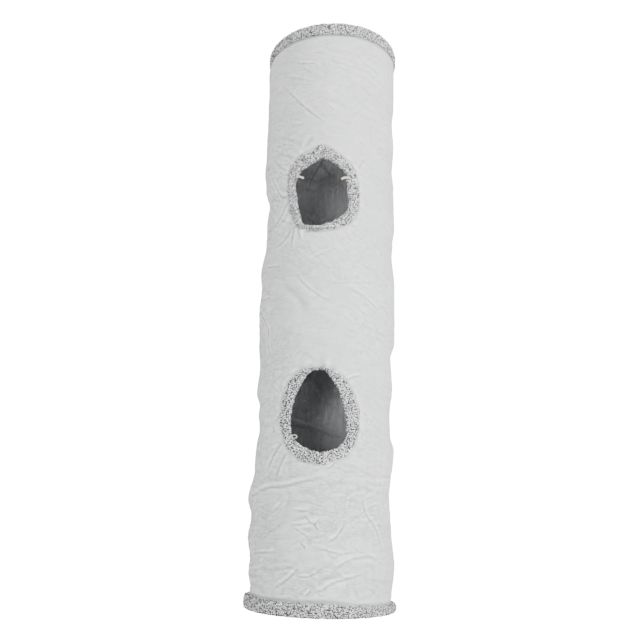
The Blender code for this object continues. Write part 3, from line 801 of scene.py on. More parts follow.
def linked(tree, made, inputs):
    """Sets or links a node's inputs, each by its name or number, to a value or a socket."""
    for key, value in inputs.items():
        if isinstance(value, bpy.types.NodeSocket):
            tree.links.new(value, made.inputs[key])
        else:
            made.inputs[key].default_value = value
    return made


def node(tree, kind, inputs, **settings):
    """Adds a node with these properties and inputs."""
    made = tree.nodes.new("ShaderNode" + kind)
    for key, value in settings.items():
        setattr(made, key, value)
    return linked(tree, made, inputs)


def material(name, roughness, metallic=0.0, sheen=0.0, specular=0.5):
    """A material with a Principled shader and its output, ready for its nodes."""
    made = bpy.data.materials.new(name)
    made.use_nodes = True
    shader = made.node_tree.nodes["Principled BSDF"]
    values = {"Roughness": roughness, "Metallic": metallic, "Sheen Weight": sheen}
    linked(made.node_tree, shader, {**values, "Specular IOR Level": specular})
    return made, made.node_tree, shader


def flat_place(tree):
    """The piece's own flat map: across and up the cloth as it was cut, or round and along the piece."""
    return node(tree, "UVMap", {}, uv_map="flat").outputs[0]


def solid_place(tree):
    """Place in the object itself, for metal and thread."""
    return node(tree, "TexCoord", {}).outputs["Object"]


def stretched(tree, place, scale, turn=0.0):
    """A place scaled along each axis, and turned in the flat."""
    return node(tree, "Mapping", {"Vector": place, "Scale": scale, "Rotation": (0, 0, turn)}).outputs[0]


def noise(tree, place, scale, detail, roughness=0.5, distortion=0.0, output="Fac"):
    """Noise over the surface, as its value or its colour."""
    inputs = {"Vector": place, "Scale": scale, "Detail": detail, "Roughness": roughness}
    return node(tree, "TexNoise", {**inputs, "Distortion": distortion}).outputs[output]


def ranged(tree, value, low, high, start=0.0, end=1.0):
    """From start at low to end at high, and no further. High may be under low."""
    inputs = {"Value": value, "From Min": low, "From Max": high, "To Min": start, "To Max": end}
    return node(tree, "MapRange", inputs).outputs[0]


def maths(tree, operation, first, second=0.0, third=0.0, clamp=False):
    made = node(tree, "Math", {0: first, 1: second, 2: third}, operation=operation, use_clamp=clamp)
    return made.outputs[0]


def vector_maths(tree, operation, inputs):
    return node(tree, "VectorMath", inputs, operation=operation).outputs[0]


def mixed(tree, factor, first, second):
    """A colour between two, each a colour or a socket."""
    ends = [end if isinstance(end, bpy.types.NodeSocket) else (*end, 1.0) for end in (first, second)]
    return node(tree, "Mix", {0: factor, 6: ends[0], 7: ends[1]}, data_type="RGBA").outputs[2]


def toned(tree, colour, mask, share, tone):
    """The colour, turned by this share to a tone where the mask is full."""
    return mixed(tree, maths(tree, "MULTIPLY", mask, share), colour, tone)


def bump(tree, height, distance, strength):
    return node(tree, "Bump", {"Height": height, "Distance": distance, "Strength": strength}).outputs[0]


def new_group(name, inputs, outputs):
    """An empty shader node group with named sockets. Returns its tree, its input and its output node."""
    tree = bpy.data.node_groups.new(name, "ShaderNodeTree")
    for label, kind, value in inputs:
        socket = tree.interface.new_socket(label, in_out="INPUT", socket_type="NodeSocket" + kind)
        if value is not None:
            socket.default_value = value
    for label, kind in outputs:
        tree.interface.new_socket(label, in_out="OUTPUT", socket_type="NodeSocket" + kind)
    return tree, tree.nodes.new("NodeGroupInput"), tree.nodes.new("NodeGroupOutput")


def use_group(tree, group, inputs):
    return node(tree, "Group", inputs, node_tree=group).outputs


def weave_group():
    """Threads both ways, with slubs along them: Height for a bump, Tone for a slight change of colour."""
    tree, given, out = new_group(
        "cloth_weave",
        [("Vector", "Vector", None), ("Threads", "Float", 900.0), ("Slub", "Float", 0.5)],
        [("Height", "Float"), ("Tone", "Float")],
    )
    place = given.outputs["Vector"]
    parts = node(tree, "SeparateXYZ", {0: place})
    waves = []
    for axis in ("X", "Y"):
        threads = maths(tree, "MULTIPLY", parts.outputs[axis], given.outputs["Threads"])
        waves.append(maths(tree, "SINE", maths(tree, "MULTIPLY", threads, tau)))
    woven = maths(tree, "MULTIPLY", waves[0], waves[1])
    weft = noise(tree, stretched(tree, place, (90.0, 900.0, 1.0)), 1.0, 2.0)
    warp = noise(tree, stretched(tree, place, (1000.0, 110.0, 1.0)), 1.0, 2.0)
    slub = maths(tree, "SUBTRACT", maths(tree, "ADD", weft, warp), 1.0)
    woven = maths(tree, "MULTIPLY", woven, 0.25)
    height = maths(tree, "MULTIPLY_ADD", slub, given.outputs["Slub"], woven)
    linked(tree, out, {"Height": height, "Tone": maths(tree, "MULTIPLY_ADD", slub, 0.5, 0.5)})
    return tree


def crinkle_group():
    """Fine creases that wander and cross: Height for a bump, and Line, a mask of the creases."""
    tree, given, out = new_group(
        "fine_crinkle",
        [("Vector", "Vector", None), ("Scale", "Float", 40.0), ("Width", "Float", 0.02)],
        [("Height", "Float"), ("Line", "Float")],
    )
    place = given.outputs["Vector"]
    wave = noise(tree, place, given.outputs["Scale"], 1.5, distortion=0.6)
    ridge = maths(tree, "ABSOLUTE", maths(tree, "SUBTRACT", wave, 0.5))
    line = maths(tree, "DIVIDE", ridge, given.outputs["Width"])
    line = maths(tree, "SUBTRACT", 1.0, line, clamp=True)
    mask = ranged(tree, noise(tree, place, 17.0, 1.0), 0.38, 0.52)
    line = maths(tree, "MULTIPLY", line, mask)
    facets = maths(tree, "MULTIPLY", maths(tree, "MULTIPLY", ridge, 2.0), mask)
    linked(tree, out, {"Height": maths(tree, "MULTIPLY_ADD", line, -0.3, facets), "Line": line})
    return tree


def suede_material(weave, crinkle):
    """Pale suede cloth with a fine woven grain, with painted shade in its creases and hollows and a painted
    highlight on its ridges.
    """
    made, tree, shader = material("pale_grey_suede", roughness=0.92, sheen=0.10, specular=0.25)
    flat = flat_place(tree)
    hollow = node(tree, "Attribute", {}, attribute_name="hollow").outputs["Fac"]
    creased = node(tree, "Attribute", {}, attribute_name="unrest").outputs["Fac"]
    woven = use_group(tree, weave, {"Vector": flat, "Threads": 850.0, "Slub": 0.8})
    rising = stretched(tree, flat, (0.40, 1.0, 1.0), -0.42)
    falling = stretched(tree, flat, (0.42, 1.0, 1.0), 0.55)
    first = use_group(tree, crinkle, {"Vector": rising, "Scale": 74.0, "Width": 0.040})
    second = use_group(tree, crinkle, {"Vector": falling, "Scale": 66.0, "Width": 0.036})
    patches = ranged(tree, noise(tree, flat, 9.0, 2.0, 0.6), 0.35, 0.65)
    high = ranged(tree, node(tree, "SeparateXYZ", {0: flat}).outputs["Y"], 0.30, 0.80)
    colour = mixed(tree, high, mixed(tree, patches, *SUEDE_COOL), mixed(tree, patches, *SUEDE_WARM))
    blotches = ranged(tree, noise(tree, rising, 75.0, 3.0, 0.6), 0.42, 0.68)
    grain = noise(tree, flat, 360.0, 3.0, 0.75)
    slubs = noise(tree, stretched(tree, flat, (26.0, 300.0, 1.0)), 1.0, 3.0)
    lines = maths(tree, "MAXIMUM", first["Line"], second["Line"])
    for mask, share, tone in (
        (maths(tree, "MULTIPLY", blotches, creased), 0.55, SUEDE_BLOTCH),
        (ranged(tree, grain, 0.36, 0.64), 0.42, SUEDE_GRAIN),
        (ranged(tree, slubs, 0.40, 0.66), 0.22, SUEDE_SLUB),
        # Painted shade along the fine crease lines
        (maths(tree, "MULTIPLY", lines, creased), 0.60, SUEDE_CREASE_SHADE),
        # Painted shade in the skin's hollows, at its folds and where it meets the rims
        (ranged(tree, hollow, 0.52, 1.0), 0.75, SUEDE_HOLLOW_SHADE),
        # Painted highlight on the skin's ridges
        (ranged(tree, hollow, 0.48, 0.0), 0.85, SUEDE_RIDGE_HIGHLIGHT),
    ):
        colour = toned(tree, colour, mask, share, tone)
    fine = bump(tree, maths(tree, "MULTIPLY_ADD", grain, 0.6, woven["Height"]), 0.00025, 0.8)
    fold = maths(tree, "MULTIPLY", maths(tree, "ADD", first["Height"], second["Height"]), creased)
    broad = node(tree, "Bump", {"Height": fold, "Distance": 0.0022, "Strength": 1.0, "Normal": fine})
    linked(tree, shader, {"Base Color": colour, "Normal": broad.outputs[0]})
    return made


def lining_material(crinkle):
    """Dark shiny nylon with painted highlight streaks up it, dark streaks across them, and painted
    highlights along its crease lines.
    """
    made, tree, shader = material("dark_nylon_lining", roughness=0.45, specular=0.45)
    flat = flat_place(tree)
    creased = use_group(tree, crinkle, {"Vector": flat, "Scale": 34.0, "Width": 0.012})
    streak = noise(tree, stretched(tree, flat, (190.0, 9.0, 1.0), 0.05), 1.0, 3.0, 0.6)
    slant = noise(tree, stretched(tree, flat, (150.0, 16.0, 1.0), -0.55), 1.0, 2.0)
    colour = mixed(tree, noise(tree, flat, 11.0, 3.0), *NYLON)
    for mask, share, tone in (
        # Painted highlight streaks up the lining
        (ranged(tree, streak, 0.54, 0.76), 0.85, NYLON_STREAK_HIGHLIGHT),
        (ranged(tree, slant, 0.54, 0.72), 0.35, NYLON_DARK),
        # Painted highlight along the lining's creases
        (creased["Line"], 0.6, NYLON_CREASE_HIGHLIGHT),
    ):
        colour = toned(tree, colour, mask, share, tone)
    rough = ranged(tree, streak, 0.0, 1.0, 0.52, 0.36)
    height = maths(tree, "MULTIPLY_ADD", streak, 0.5, creased["Height"])
    height = maths(tree, "MULTIPLY_ADD", slant, 0.5, height)
    height = bump(tree, height, 0.0010, 0.7)
    linked(tree, shader, {"Base Color": colour, "Roughness": rough, "Normal": height})
    return made


def fleece_material():
    """Short curly pile: small pale curls, each of its own size, with painted shade in the gaps between
    them, which also gives the pile its dark flecks.
    """
    made, tree, shader = material("speckled_fleece", roughness=0.95, sheen=0.12, specular=0.2)
    flat = flat_place(tree)
    bend = noise(tree, flat, 600.0, 2.0, output="Color")
    bend = vector_maths(tree, "SUBTRACT", {0: bend, 1: (0.5, 0.5, 0.5)})
    bend = vector_maths(tree, "SCALE", {0: bend, 3: 0.0026})
    curls = {"Vector": vector_maths(tree, "ADD", {0: flat, 1: bend}), "Scale": 360.0, "Randomness": 0.80}
    curls = node(tree, "TexVoronoi", curls, voronoi_dimensions="2D")
    own = node(tree, "SeparateColor", {0: curls.outputs["Color"]}).outputs[0]
    # The dark gaps between the curls are painted shade, and also the pile's dark flecks
    gap = maths(tree, "MULTIPLY_ADD", own, 0.25, 0.215)
    gap = maths(tree, "SUBTRACT", gap, curls.outputs["Distance"])
    fibre = noise(tree, flat, 1700.0, 2.0)
    shade = maths(tree, "MULTIPLY_ADD", gap, 7.0, 0.1)
    shade = maths(tree, "MULTIPLY_ADD", fibre, 0.8, shade, clamp=True)
    height = bump(tree, maths(tree, "MULTIPLY_ADD", fibre, 0.35, shade), 0.0008, 0.9)
    linked(tree, shader, {"Base Color": mixed(tree, shade, *FLEECE), "Normal": height})
    return made


def tape_material(weave):
    made, tree, shader = material("woven_tape", roughness=0.75, specular=0.3)
    woven = use_group(tree, weave, {"Vector": flat_place(tree), "Threads": 1400.0, "Slub": 0.5})
    height = bump(tree, woven["Height"], 0.0002, 0.8)
    linked(tree, shader, {"Base Color": mixed(tree, woven["Tone"], *TAPE), "Normal": height})
    return made


def metal_material(name, colour, roughness, scratch):
    """Drawn or pressed steel with fine scratches and duller patches."""
    made, tree, shader = material(name, roughness, metallic=1.0)
    place = solid_place(tree)
    patches = noise(tree, place, 220.0, 4.0)
    scratches = noise(tree, stretched(tree, place, (400.0, 400.0, 4000.0)), 1.0, 2.0)
    worn = tuple(share * 0.72 for share in colour)
    rough = ranged(tree, patches, 0.0, 1.0, roughness - 0.08, roughness + 0.14)
    height = bump(tree, scratches, scratch, 0.5)
    colour = mixed(tree, patches, worn, colour)
    linked(tree, shader, {"Base Color": colour, "Roughness": rough, "Normal": height})
    return made


def cord_material(name, colour):
    """Twisted cord, with painted shade in the gaps between the strands wound round it."""
    made, tree, shader = material(name, roughness=0.85, sheen=0.2)
    parts = node(tree, "SeparateXYZ", {0: flat_place(tree)})
    turn = maths(tree, "MULTIPLY", parts.outputs["X"], 3.0)
    turn = maths(tree, "MULTIPLY_ADD", parts.outputs["Y"], 900.0, turn)
    strand = maths(tree, "ABSOLUTE", maths(tree, "SINE", maths(tree, "MULTIPLY", turn, pi)))
    # Painted shade in the grooves between the strands
    groove_shade = tuple(share * 0.62 for share in colour)
    height = bump(tree, strand, 0.0003, 0.8)
    linked(tree, shader, {"Base Color": mixed(tree, strand, groove_shade, colour), "Normal": height})
    return made


def thread_material():
    made, tree, shader = material("pale_thread", roughness=0.6, sheen=0.2)
    fibre = noise(tree, solid_place(tree), 1600.0, 1.0)
    linked(tree, shader, {"Base Color": mixed(tree, fibre, *PALE_THREAD)})
    return made


@contextmanager
def opened(mesh):
    """The mesh opened for editing, and written back at the end."""
    shape = bmesh.new()
    shape.from_mesh(mesh)
    yield shape
    shape.to_mesh(mesh)
    shape.free()


def new_piece(name, mesh, finish):
    obj = bpy.data.objects.new(name, mesh)
    bpy.context.scene.collection.objects.link(obj)
    mesh.materials.append(finish)
    mesh.shade_smooth()
    return obj


def applied(obj):
    """Applies the object's modifiers."""
    bpy.ops.object.select_all(action="DESELECT")
    obj.select_set(True)
    bpy.context.view_layer.objects.active = obj
    for modifier in list(obj.modifiers):
        bpy.ops.object.modifier_apply(modifier=modifier.name)
    obj.select_set(False)


def run_lengths(points):
    """How far along its line each point lies."""
    return np.concatenate([[0], np.cumsum(np.linalg.norm(np.diff(points, axis=0), axis=1))])


def ring_mesh(name, points, joined, girths, runs):
    """A mesh over rings of points, counted (ring, place round it), and its flat map: how far each place
    lies round its ring, and how far each ring lies along. Joined rings close on the first."""
    rings, sides = points.shape[:2]
    ring, side = np.meshgrid(np.arange(rings if joined else rings - 1), np.arange(sides), indexing="ij")
    after, beside = (ring + 1) % rings, (side + 1) % sides
    corners = ((ring, side), (ring, beside), (after, beside), (after, side))
    faces = np.stack([r * sides + s for r, s in corners], -1).reshape(-1, 4)
    mesh = bpy.data.meshes.new(name)
    mesh.from_pydata(points.reshape(-1, 3).tolist(), [], faces.tolist())
    girths = np.atleast_2d(girths) + np.zeros((rings + 1, 1))
    corners = ((ring, side), (ring, side + 1), (ring + 1, side + 1), (ring + 1, side))
    flat = np.stack([np.stack([girths[r, s], runs[r]], -1) for r, s in corners], 2)
    mesh.uv_layers.new(name="flat").data.foreach_set("uv", flat.astype(np.float32).ravel())
    mesh.update()
    return mesh


def closed_strip(name, points, girths, runs, finish):
    """A piece over rings of points, with its two ends closed and its faces outwards."""
    piece = new_piece(name, ring_mesh(name, points, False, girths, runs), finish)
    with opened(piece.data) as shape:
        bmesh.ops.holes_fill(shape, edges=[edge for edge in shape.edges if edge.is_boundary], sides=0)
        bmesh.ops.recalc_face_normals(shape, faces=shape.faces)
    return piece


def refined(shape, near):
    """Halves the faces whose middles are near what needs them small."""
    faces = list(shape.faces)
    middles = np.array([face.calc_center_median()[:2] for face in faces])
    chosen = near(middles[:, 0], middles[:, 1])
    edges = {edge for face, wanted in zip(faces, chosen) if wanted for edge in face.edges}
    bmesh.ops.subdivide_edges(shape, edges=list(edges), cuts=1, use_grid_fill=True)


def near_folds(distance, folds):
    """A test of whether places lie this near a deep fold, a binding's outer edge or the seam."""
    deep = [places for depth, half, places in folds if depth > SHALLOW_FOLD]
    spots = np.concatenate([smooth_line(places, 6, False) for places in deep])

    def test(across, up):
        result = np.zeros(across.shape, bool)
        for start in range(0, len(across), BATCH):
            x, y = across[start : start + BATCH], up[start : start + BATCH]
            gap = np.hypot(x[:, None] - spots[None, :, 0], y[:, None] - spots[None, :, 1]).min(1)
            result[start : start + BATCH] = gap < distance
        for hole in (UPPER_HOLE, LOWER_HOLE):
            out, bearing, width = round_hole(hole, across, up)
            result |= np.abs(out - width * 0.9) < distance
        return result | (np.abs(across) > ROUND / 2 - distance)

    return test


def cut_hole(shape, hole, outset, reach):
    """Cuts a peep hole, and draws the points of the cut edge within reach onto its line."""
    middles = np.array([face.calc_center_median()[:2] for face in shape.faces])
    out = round_hole(hole, middles[:, 0], middles[:, 1])[0]
    inside = [face for face, gap in zip(shape.faces, out) if gap < outset]
    bmesh.ops.delete(shape, geom=inside, context="FACES")
    loop = hole_loop(hole)
    line = loop[:, :2] + loop_outwards(loop) * outset
    for vertex in shape.verts:
        if vertex.is_boundary and abs(vertex.co.x) < ROUND / 4 and HEM_HEIGHT < vertex.co.y < HEM_TOP:
            gaps = np.hypot(line[:, 0] - vertex.co.x, line[:, 1] - vertex.co.y)
            nearest = gaps.argmin()
            if gaps[nearest] < reach:
                vertex.co.x, vertex.co.y = line[nearest]


def cut_flat(name, cell, tests, outset):
    """A flat sheet of cloth with its holes cut out, as an object in the XY plane, and its area."""
    columns, rows = round(ROUND / cell), round((HEM_TOP - HEM_HEIGHT) / cell)
    bpy.ops.object.select_all(action="DESELECT")
    bpy.ops.mesh.primitive_grid_add(x_subdivisions=columns, y_subdivisions=rows, size=1, calc_uvs=False)
    obj = bpy.context.active_object
    obj.name = name
    obj.data.name = name
    with opened(obj.data) as shape:
        for vertex in shape.verts:
            up = HEM_HEIGHT + (vertex.co.y + 0.5) * (HEM_TOP - HEM_HEIGHT)
            vertex.co = (vertex.co.x * ROUND, up, 0)
        for test in tests:
            refined(shape, test)
        for hole in (UPPER_HOLE, LOWER_HOLE):
            cut_hole(shape, hole, outset, 2 * cell)
        bmesh.ops.dissolve_degenerate(shape, dist=MERGED, edges=shape.edges)
        bmesh.ops.triangulate(shape, faces=[face for face in shape.faces if len(face.verts) > 4])
        area = sum(face.calc_area() for face in shape.faces)
        flat = shape.loops.layers.uv.new("flat")
        for face in shape.faces:
            for loop in face.loops:
                loop[flat].uv = loop.vert.co.xy
    return obj, area


def hollows():
    """A table of how far the skin lies below its own surroundings, for its painted shade and highlight."""
    columns, rows = round(ROUND / HOLLOW_CELL), round(TUNNEL_HEIGHT / HOLLOW_CELL) + 1
    across, up = np.meshgrid(np.arange(columns) * HOLLOW_CELL - ROUND / 2, np.arange(rows) * HOLLOW_CELL)
    height = skin_folds(across, up) - hem_pinch(across, up)
    around = height
    for turn in range(HOLLOW_ROUNDS):
        around = (np.roll(around, 1, 1) + 2 * around + np.roll(around, -1, 1)) / 4
        padded = np.pad(around, ((1, 1), (0, 0)), mode="edge")
        around = (padded[:-2] + 2 * around + padded[2:]) / 4
    return around - height


def mark_creases(mesh, across, up):
    """Writes how deep in a hollow each place of the skin lies, for its painted shade and highlight, and how
    creased the cloth is there.
    """
    table = hollows()
    rows, columns = table.shape
    row = np.clip(np.round(up / TUNNEL_HEIGHT * (rows - 1)).astype(int), 0, rows - 1)
    column = np.round((across / ROUND + 0.5) * columns).astype(int) % columns
    hollow = np.clip(0.5 + table[row, column] / HOLLOW_FULL / 2, 0, 1)
    for label, values in (("hollow", hollow), ("unrest", unrest(across, up))):
        mesh.attributes.new(label, "FLOAT", "POINT").data.foreach_set("value", values.astype(np.float32))


def cloth_sheet(name, cell, tests, radius, wall, finish, outset, most_faces=None, marks=None):
    """A sheet of cloth, drawn flat as it was cut, then bent round, joined at the back and given its wall.
    Tests say where its faces are halved, and marks writes its attributes. Returns it and its flat area."""
    obj, area = cut_flat(name, cell, tests, outset)
    mesh = obj.data
    places = np.empty(len(mesh.vertices) * 3)
    mesh.vertices.foreach_get("co", places)
    across, up = places.reshape(-1, 3)[:, 0], places.reshape(-1, 3)[:, 1]
    mesh.vertices.foreach_set("co", wall_point(across, up, radius(across, up)).ravel())
    if marks:
        marks(mesh, across, up)
    with opened(mesh) as shape:
        edge = [vertex for vertex in shape.verts if vertex.is_boundary]
        bmesh.ops.remove_doubles(shape, verts=edge, dist=MERGED)
    mesh.materials.append(finish)
    if most_faces:
        triangles = sum(len(face.vertices) - 2 for face in mesh.polygons)
        thinning = obj.modifiers.new("thinning", "DECIMATE")
        thinning.ratio = min(1.0, most_faces / triangles)
    shell = obj.modifiers.new("wall", "SOLIDIFY")
    shell.thickness = wall
    shell.offset = -1
    applied(obj)
    obj.data.shade_smooth()
    return obj, area


def fleece(points, run, girth, seed):
    """Tufts over a smooth closed ring of points, counted (along, round its section): small domes, each
    of its own height. Returns the points, and how far each lies round its section and along."""
    steps, sides = points.shape[:2]
    along = np.roll(points, -1, 0) - np.roll(points, 1, 0)
    about = np.roll(points, -1, 1) - np.roll(points, 1, 1)
    out = unit(np.cross(along, about))
    columns, rows = round(run / TUFT), round(girth / TUFT)
    x = np.arange(steps)[:, None] / steps * columns + np.zeros((1, sides))
    y = np.arange(sides)[None, :] / sides * rows + np.zeros((steps, 1))
    first, second, mark = cells(x, y, columns, rows + 1, seed)
    draw = np.random.default_rng(seed + 1)
    clump = draw.uniform(-1, 1, (columns // CLUMP[0] + 1, rows // CLUMP[1] + 2))
    row = (x / CLUMP[0]).astype(int) % clump.shape[0]
    side = (y / CLUMP[1]).astype(int) % clump.shape[1]
    swell = clump[row, side]
    for turn in range(3):
        total = swell
        for shift, axis in ((2, 0), (-2, 0), (2, 1), (-2, 1)):
            total = total + np.roll(swell, shift, axis)
        swell = total / 5
    dome = np.clip(1 - (first / 0.62) ** 2, -0.35, 1)
    height = TUFT_HEIGHT * (dome * (0.55 + 0.9 * np.abs(mark * 7 % 1.0)) + 0.5 * swell - 0.25)
    girths, runs = np.arange(sides + 1) / sides * girth, np.arange(steps + 1) / steps * run
    return points + out * height[:, :, None], girths, runs


def section_loop(places, sides):
    """A closed section through the places, at even steps along its length, and that length."""
    line = smooth_line(places, 12, True)
    ring = np.concatenate([line, line[:1]])
    lengths = run_lengths(ring)
    steps = np.arange(sides) / sides * lengths[-1]
    return np.stack([np.interp(steps, lengths, ring[:, axis]) for axis in (0, 1)], 1), lengths[-1]


def fleece_rim(name, at_top, outer, height, seed, finish):
    """The puffy fleece round one end of the tube, flat where it stands, with a crease for the skin."""
    middle = (outer + RIM_INNER_RADIUS) / 2
    half = (outer - RIM_INNER_RADIUS) / 2
    crease = SKIN_RADIUS - middle
    places = (
        (half, 0.46),
        (half * 0.93, 0.16),
        (half * 0.55, 0.012),
        (0, 0.0),
        (-half * 0.55, 0.012),
        (-half * 0.93, 0.16),
        (-half, 0.50),
        (-half * 0.92, 0.80),
        (-half * 0.45, 0.975),
        (crease - 0.0034, 1.0),
        (crease - 0.0012, 0.93),
        (crease, 0.85),
        (crease + 0.0012, 0.93),
        (crease + 0.0031, 0.975),
        (half * 0.94, 0.80),
    )
    section, girth = section_loop([(x, y * height) for x, y in places], RIM_SIDES)
    angle = np.arange(RIM_STEPS) / RIM_STEPS * tau
    draw = np.random.default_rng(seed)
    wobble = sum(
        draw.uniform(0.3, 1) * np.sin(count * angle + draw.uniform(0, tau)) / sqrt(count)
        for count in RIM_WAVES
    )
    radius = middle + section[None, :, 0] * (1 + RIM_WIDTH_WAVE_SHARE * wobble[:, None])
    if not at_top:
        radius = radius + SPREAD_RIGHT * smooth(np.sin(angle))[:, None]
    lower = 1 if at_top else rim_stand(angle)
    stand = (1 + RIM_HEIGHT_WAVE_SHARE * np.roll(wobble, 90)) * lower
    up = section[None, :, 1] * stand[:, None]
    points = [radius * np.sin(angle)[:, None], -radius * np.cos(angle)[:, None], up + 0 * radius]
    points, girths, runs = fleece(np.stack(points, -1), tau * middle, girth, seed)
    points[:, :, 2] = np.maximum(points[:, :, 2], 0.0)
    if at_top:
        points[:, :, 2] = TUNNEL_HEIGHT - points[:, :, 2] + droop(angle, TUNNEL_HEIGHT)[:, None]
        points = points[:, ::-1]
    return new_piece(name, ring_mesh(name, points, True, girths, runs), finish)


def fleece_binding(hole, seed, finish):
    """Fleece folded over the cut edge of a peep hole, wide or narrow as it was sewn."""
    name = hole["name"] + "_fleece"
    loop = hole_loop(hole, BINDING_STEPS)
    out = loop_outwards(loop)
    for shift in (8, 14, 22, 30):
        out = unit(out + np.roll(out, shift, 0) + np.roll(out, -shift, 0))
    steps = len(loop)
    points = np.empty((steps, BINDING_SIDES, 3))
    girths = np.empty(steps)
    draw = np.random.default_rng(seed + 5)
    turn = np.arange(steps) / steps * tau
    waves = [
        sum(draw.uniform(0.4, 1) * np.sin(count * turn + draw.uniform(0, tau)) for count in counts)
        for counts in BINDING_WAVES
    ]
    for index in range(steps):
        width = loop[index, 2] * (1 + BINDING_WIDTH_WAVE_SHARE * waves[0][index])
        shift = BINDING_WANDER * waves[1][index]
        places = (
            (0.0007, -0.0012),
            (0.0016, 0.0020),
            (0.10 * width + 0.0022, 0.0040),
            (0.45 * width + 0.0010, 0.0046),
            (0.80 * width, 0.0036),
            (width, 0.0008),
            (0.95 * width, -0.0016),
            (0.75 * BINDING_INSIDE + 0.25 * width, -0.0040),
            (BINDING_INSIDE, -0.0062),
            (0.75 * BINDING_INSIDE, -0.0074),
            (0.0042, -0.0066),
            (0.0018, -0.0040),
        )
        section, girths[index] = section_loop(places, BINDING_SIDES)
        flat = loop[index, :2] + (section[:, :1] + shift) * out[index]
        even = tube_radius(flat[:, 0], flat[:, 1]) * 0.8 + SKIN_RADIUS * 0.2
        points[index] = wall_point(flat[:, 0], flat[:, 1], even - BINDING_SUNK + section[:, 1])
    run = np.linalg.norm(np.diff(loop[:, :2], axis=0), axis=1).sum() * 1.15
    points, mean_girths, runs = fleece(points[:, ::-1], run, girths.mean(), seed)
    girths = np.append(girths, girths[0])[:, None] / girths.mean() * mean_girths[None, :]
    return new_piece(name, ring_mesh(name, points, True, girths, runs), finish)


def wire_path():
    """The wire's centre line: a flat turn in the bottom rim, the live turns, a flat turn in the top rim."""
    steps = round((LIVE_TURNS + 2 * DEAD_TURNS) * WIRE_STEPS)
    turn = np.linspace(-DEAD_TURNS, LIVE_TURNS + DEAD_TURNS, steps + 1)
    low = np.maximum(0, turn + CORNER_TURNS) ** 2 / (4 * CORNER_TURNS)
    high = LIVE_TURNS - np.maximum(0, LIVE_TURNS - turn + CORNER_TURNS) ** 2 / (4 * CORNER_TURNS)
    live = np.where(turn < CORNER_TURNS, low, np.where(LIVE_TURNS - turn < CORNER_TURNS, high, turn))
    up = wire_height(live) + DEAD_TURN_RISE * (turn - live)
    across = (WIRE_START_ANGLE + tau * turn) * SKIN_RADIUS
    return wall_point(across, up, WIRE_PATH_RADIUS + 0 * up)


def tube(name, path, radii, sides, finish):
    """A round tube along a path, with its ends closed. Each point of the path may have its own radius."""
    path, radii = np.array(path), np.broadcast_to(radii, len(path))
    along = unit(np.gradient(path, axis=0))
    upright = np.where(np.abs(along[:, 2:]) > 0.9, [[1.0, 0.0, 0.0]], [[0.0, 0.0, 1.0]])
    side = unit(np.cross(along, upright))
    up = np.cross(side, along)
    turn = np.arange(sides) / sides * tau
    ring = side[:, None] * np.cos(turn)[None, :, None] + up[:, None] * np.sin(turn)[None, :, None]
    points = path[:, None] + radii[:, None, None] * ring
    return closed_strip(name, points, np.arange(sides + 1) / sides, run_lengths(path), finish)


def stitches(name, places, along, out, length, finish):
    """Short stitches of thread: a small spindle at each place."""
    ends = along * length / 2
    side = np.cross(along, out) * THREAD / 2
    top = out * THREAD / 2
    corners = [places + off for off in (-ends, ends, -side, side, -top, top)]
    faces = []
    for first in range(0, 6 * len(places), 6):
        back, front, left, right, under, over = range(first, first + 6)
        for one, two in ((over, left), (left, under), (under, right), (right, over)):
            faces += [(front, one, two), (back, two, one)]
    mesh = bpy.data.meshes.new(name)
    mesh.from_pydata(np.stack(corners, 1).reshape(-1, 3).tolist(), [], faces)
    with opened(mesh) as shape:
        bmesh.ops.recalc_face_normals(shape, faces=shape.faces)
    return new_piece(name, mesh, finish)


def casing_inner(across, up):
    """Radius at which the casing lies against the lining."""
    return lining_radius(across, up) - LINING_WALL - CASING_OFF_LINING


def casing_pieces(finish, thread):
    """The tape that carries the wire up the inside of the lining, its length, and its two rows of
    stitches."""
    off_rim = RIM_HEIGHT + CASING_WIDTH / 2 + CASING_END_SPACE
    first, last = wire_turn(np.array([off_rim, TUNNEL_HEIGHT - off_rim]))
    turns = np.linspace(first, last, round((last - first) * CASING_STEPS) + 1)
    section = np.array(CASING_SECTION)
    across = ((WIRE_START_ANGLE + tau * turns) * SKIN_RADIUS)[:, None] + 0 * section[None, :, 0]
    up = wire_height(turns)[:, None] + section[None, :, 0]
    points = wall_point(across, up, casing_inner(across, up) + section[None, :, 1])
    girths = run_lengths(np.concatenate([section, section[:1]]))
    casing = closed_strip("wire_tape", points, girths, run_lengths(points[:, 0]), finish)
    length = (last - first) * sqrt((tau * SKIN_RADIUS) ** 2 + (WIRE_RISE / LIVE_TURNS) ** 2)
    turns = np.linspace(first, last, round(length / STITCH_SPACING) + 1)[1:-1]
    across = (WIRE_START_ANGLE + tau * turns) * SKIN_RADIUS
    rows = []
    for side in (-1, 1):
        up = wire_height(turns) + side * (CASING_WIDTH / 2 - CASING_STITCH_INSET)
        rows.append(wall_point(across, up, casing_inner(across, up) - CASING_STITCH_DEPTH))
    places = np.concatenate(rows)
    along = np.concatenate([unit(np.gradient(row, axis=0)) for row in rows])
    out = unit(places * np.array([1, 1, 0]))
    sewn = stitches("wire_tape_stitches", places, along, out, CASING_STITCH, thread)
    return casing, length, sewn


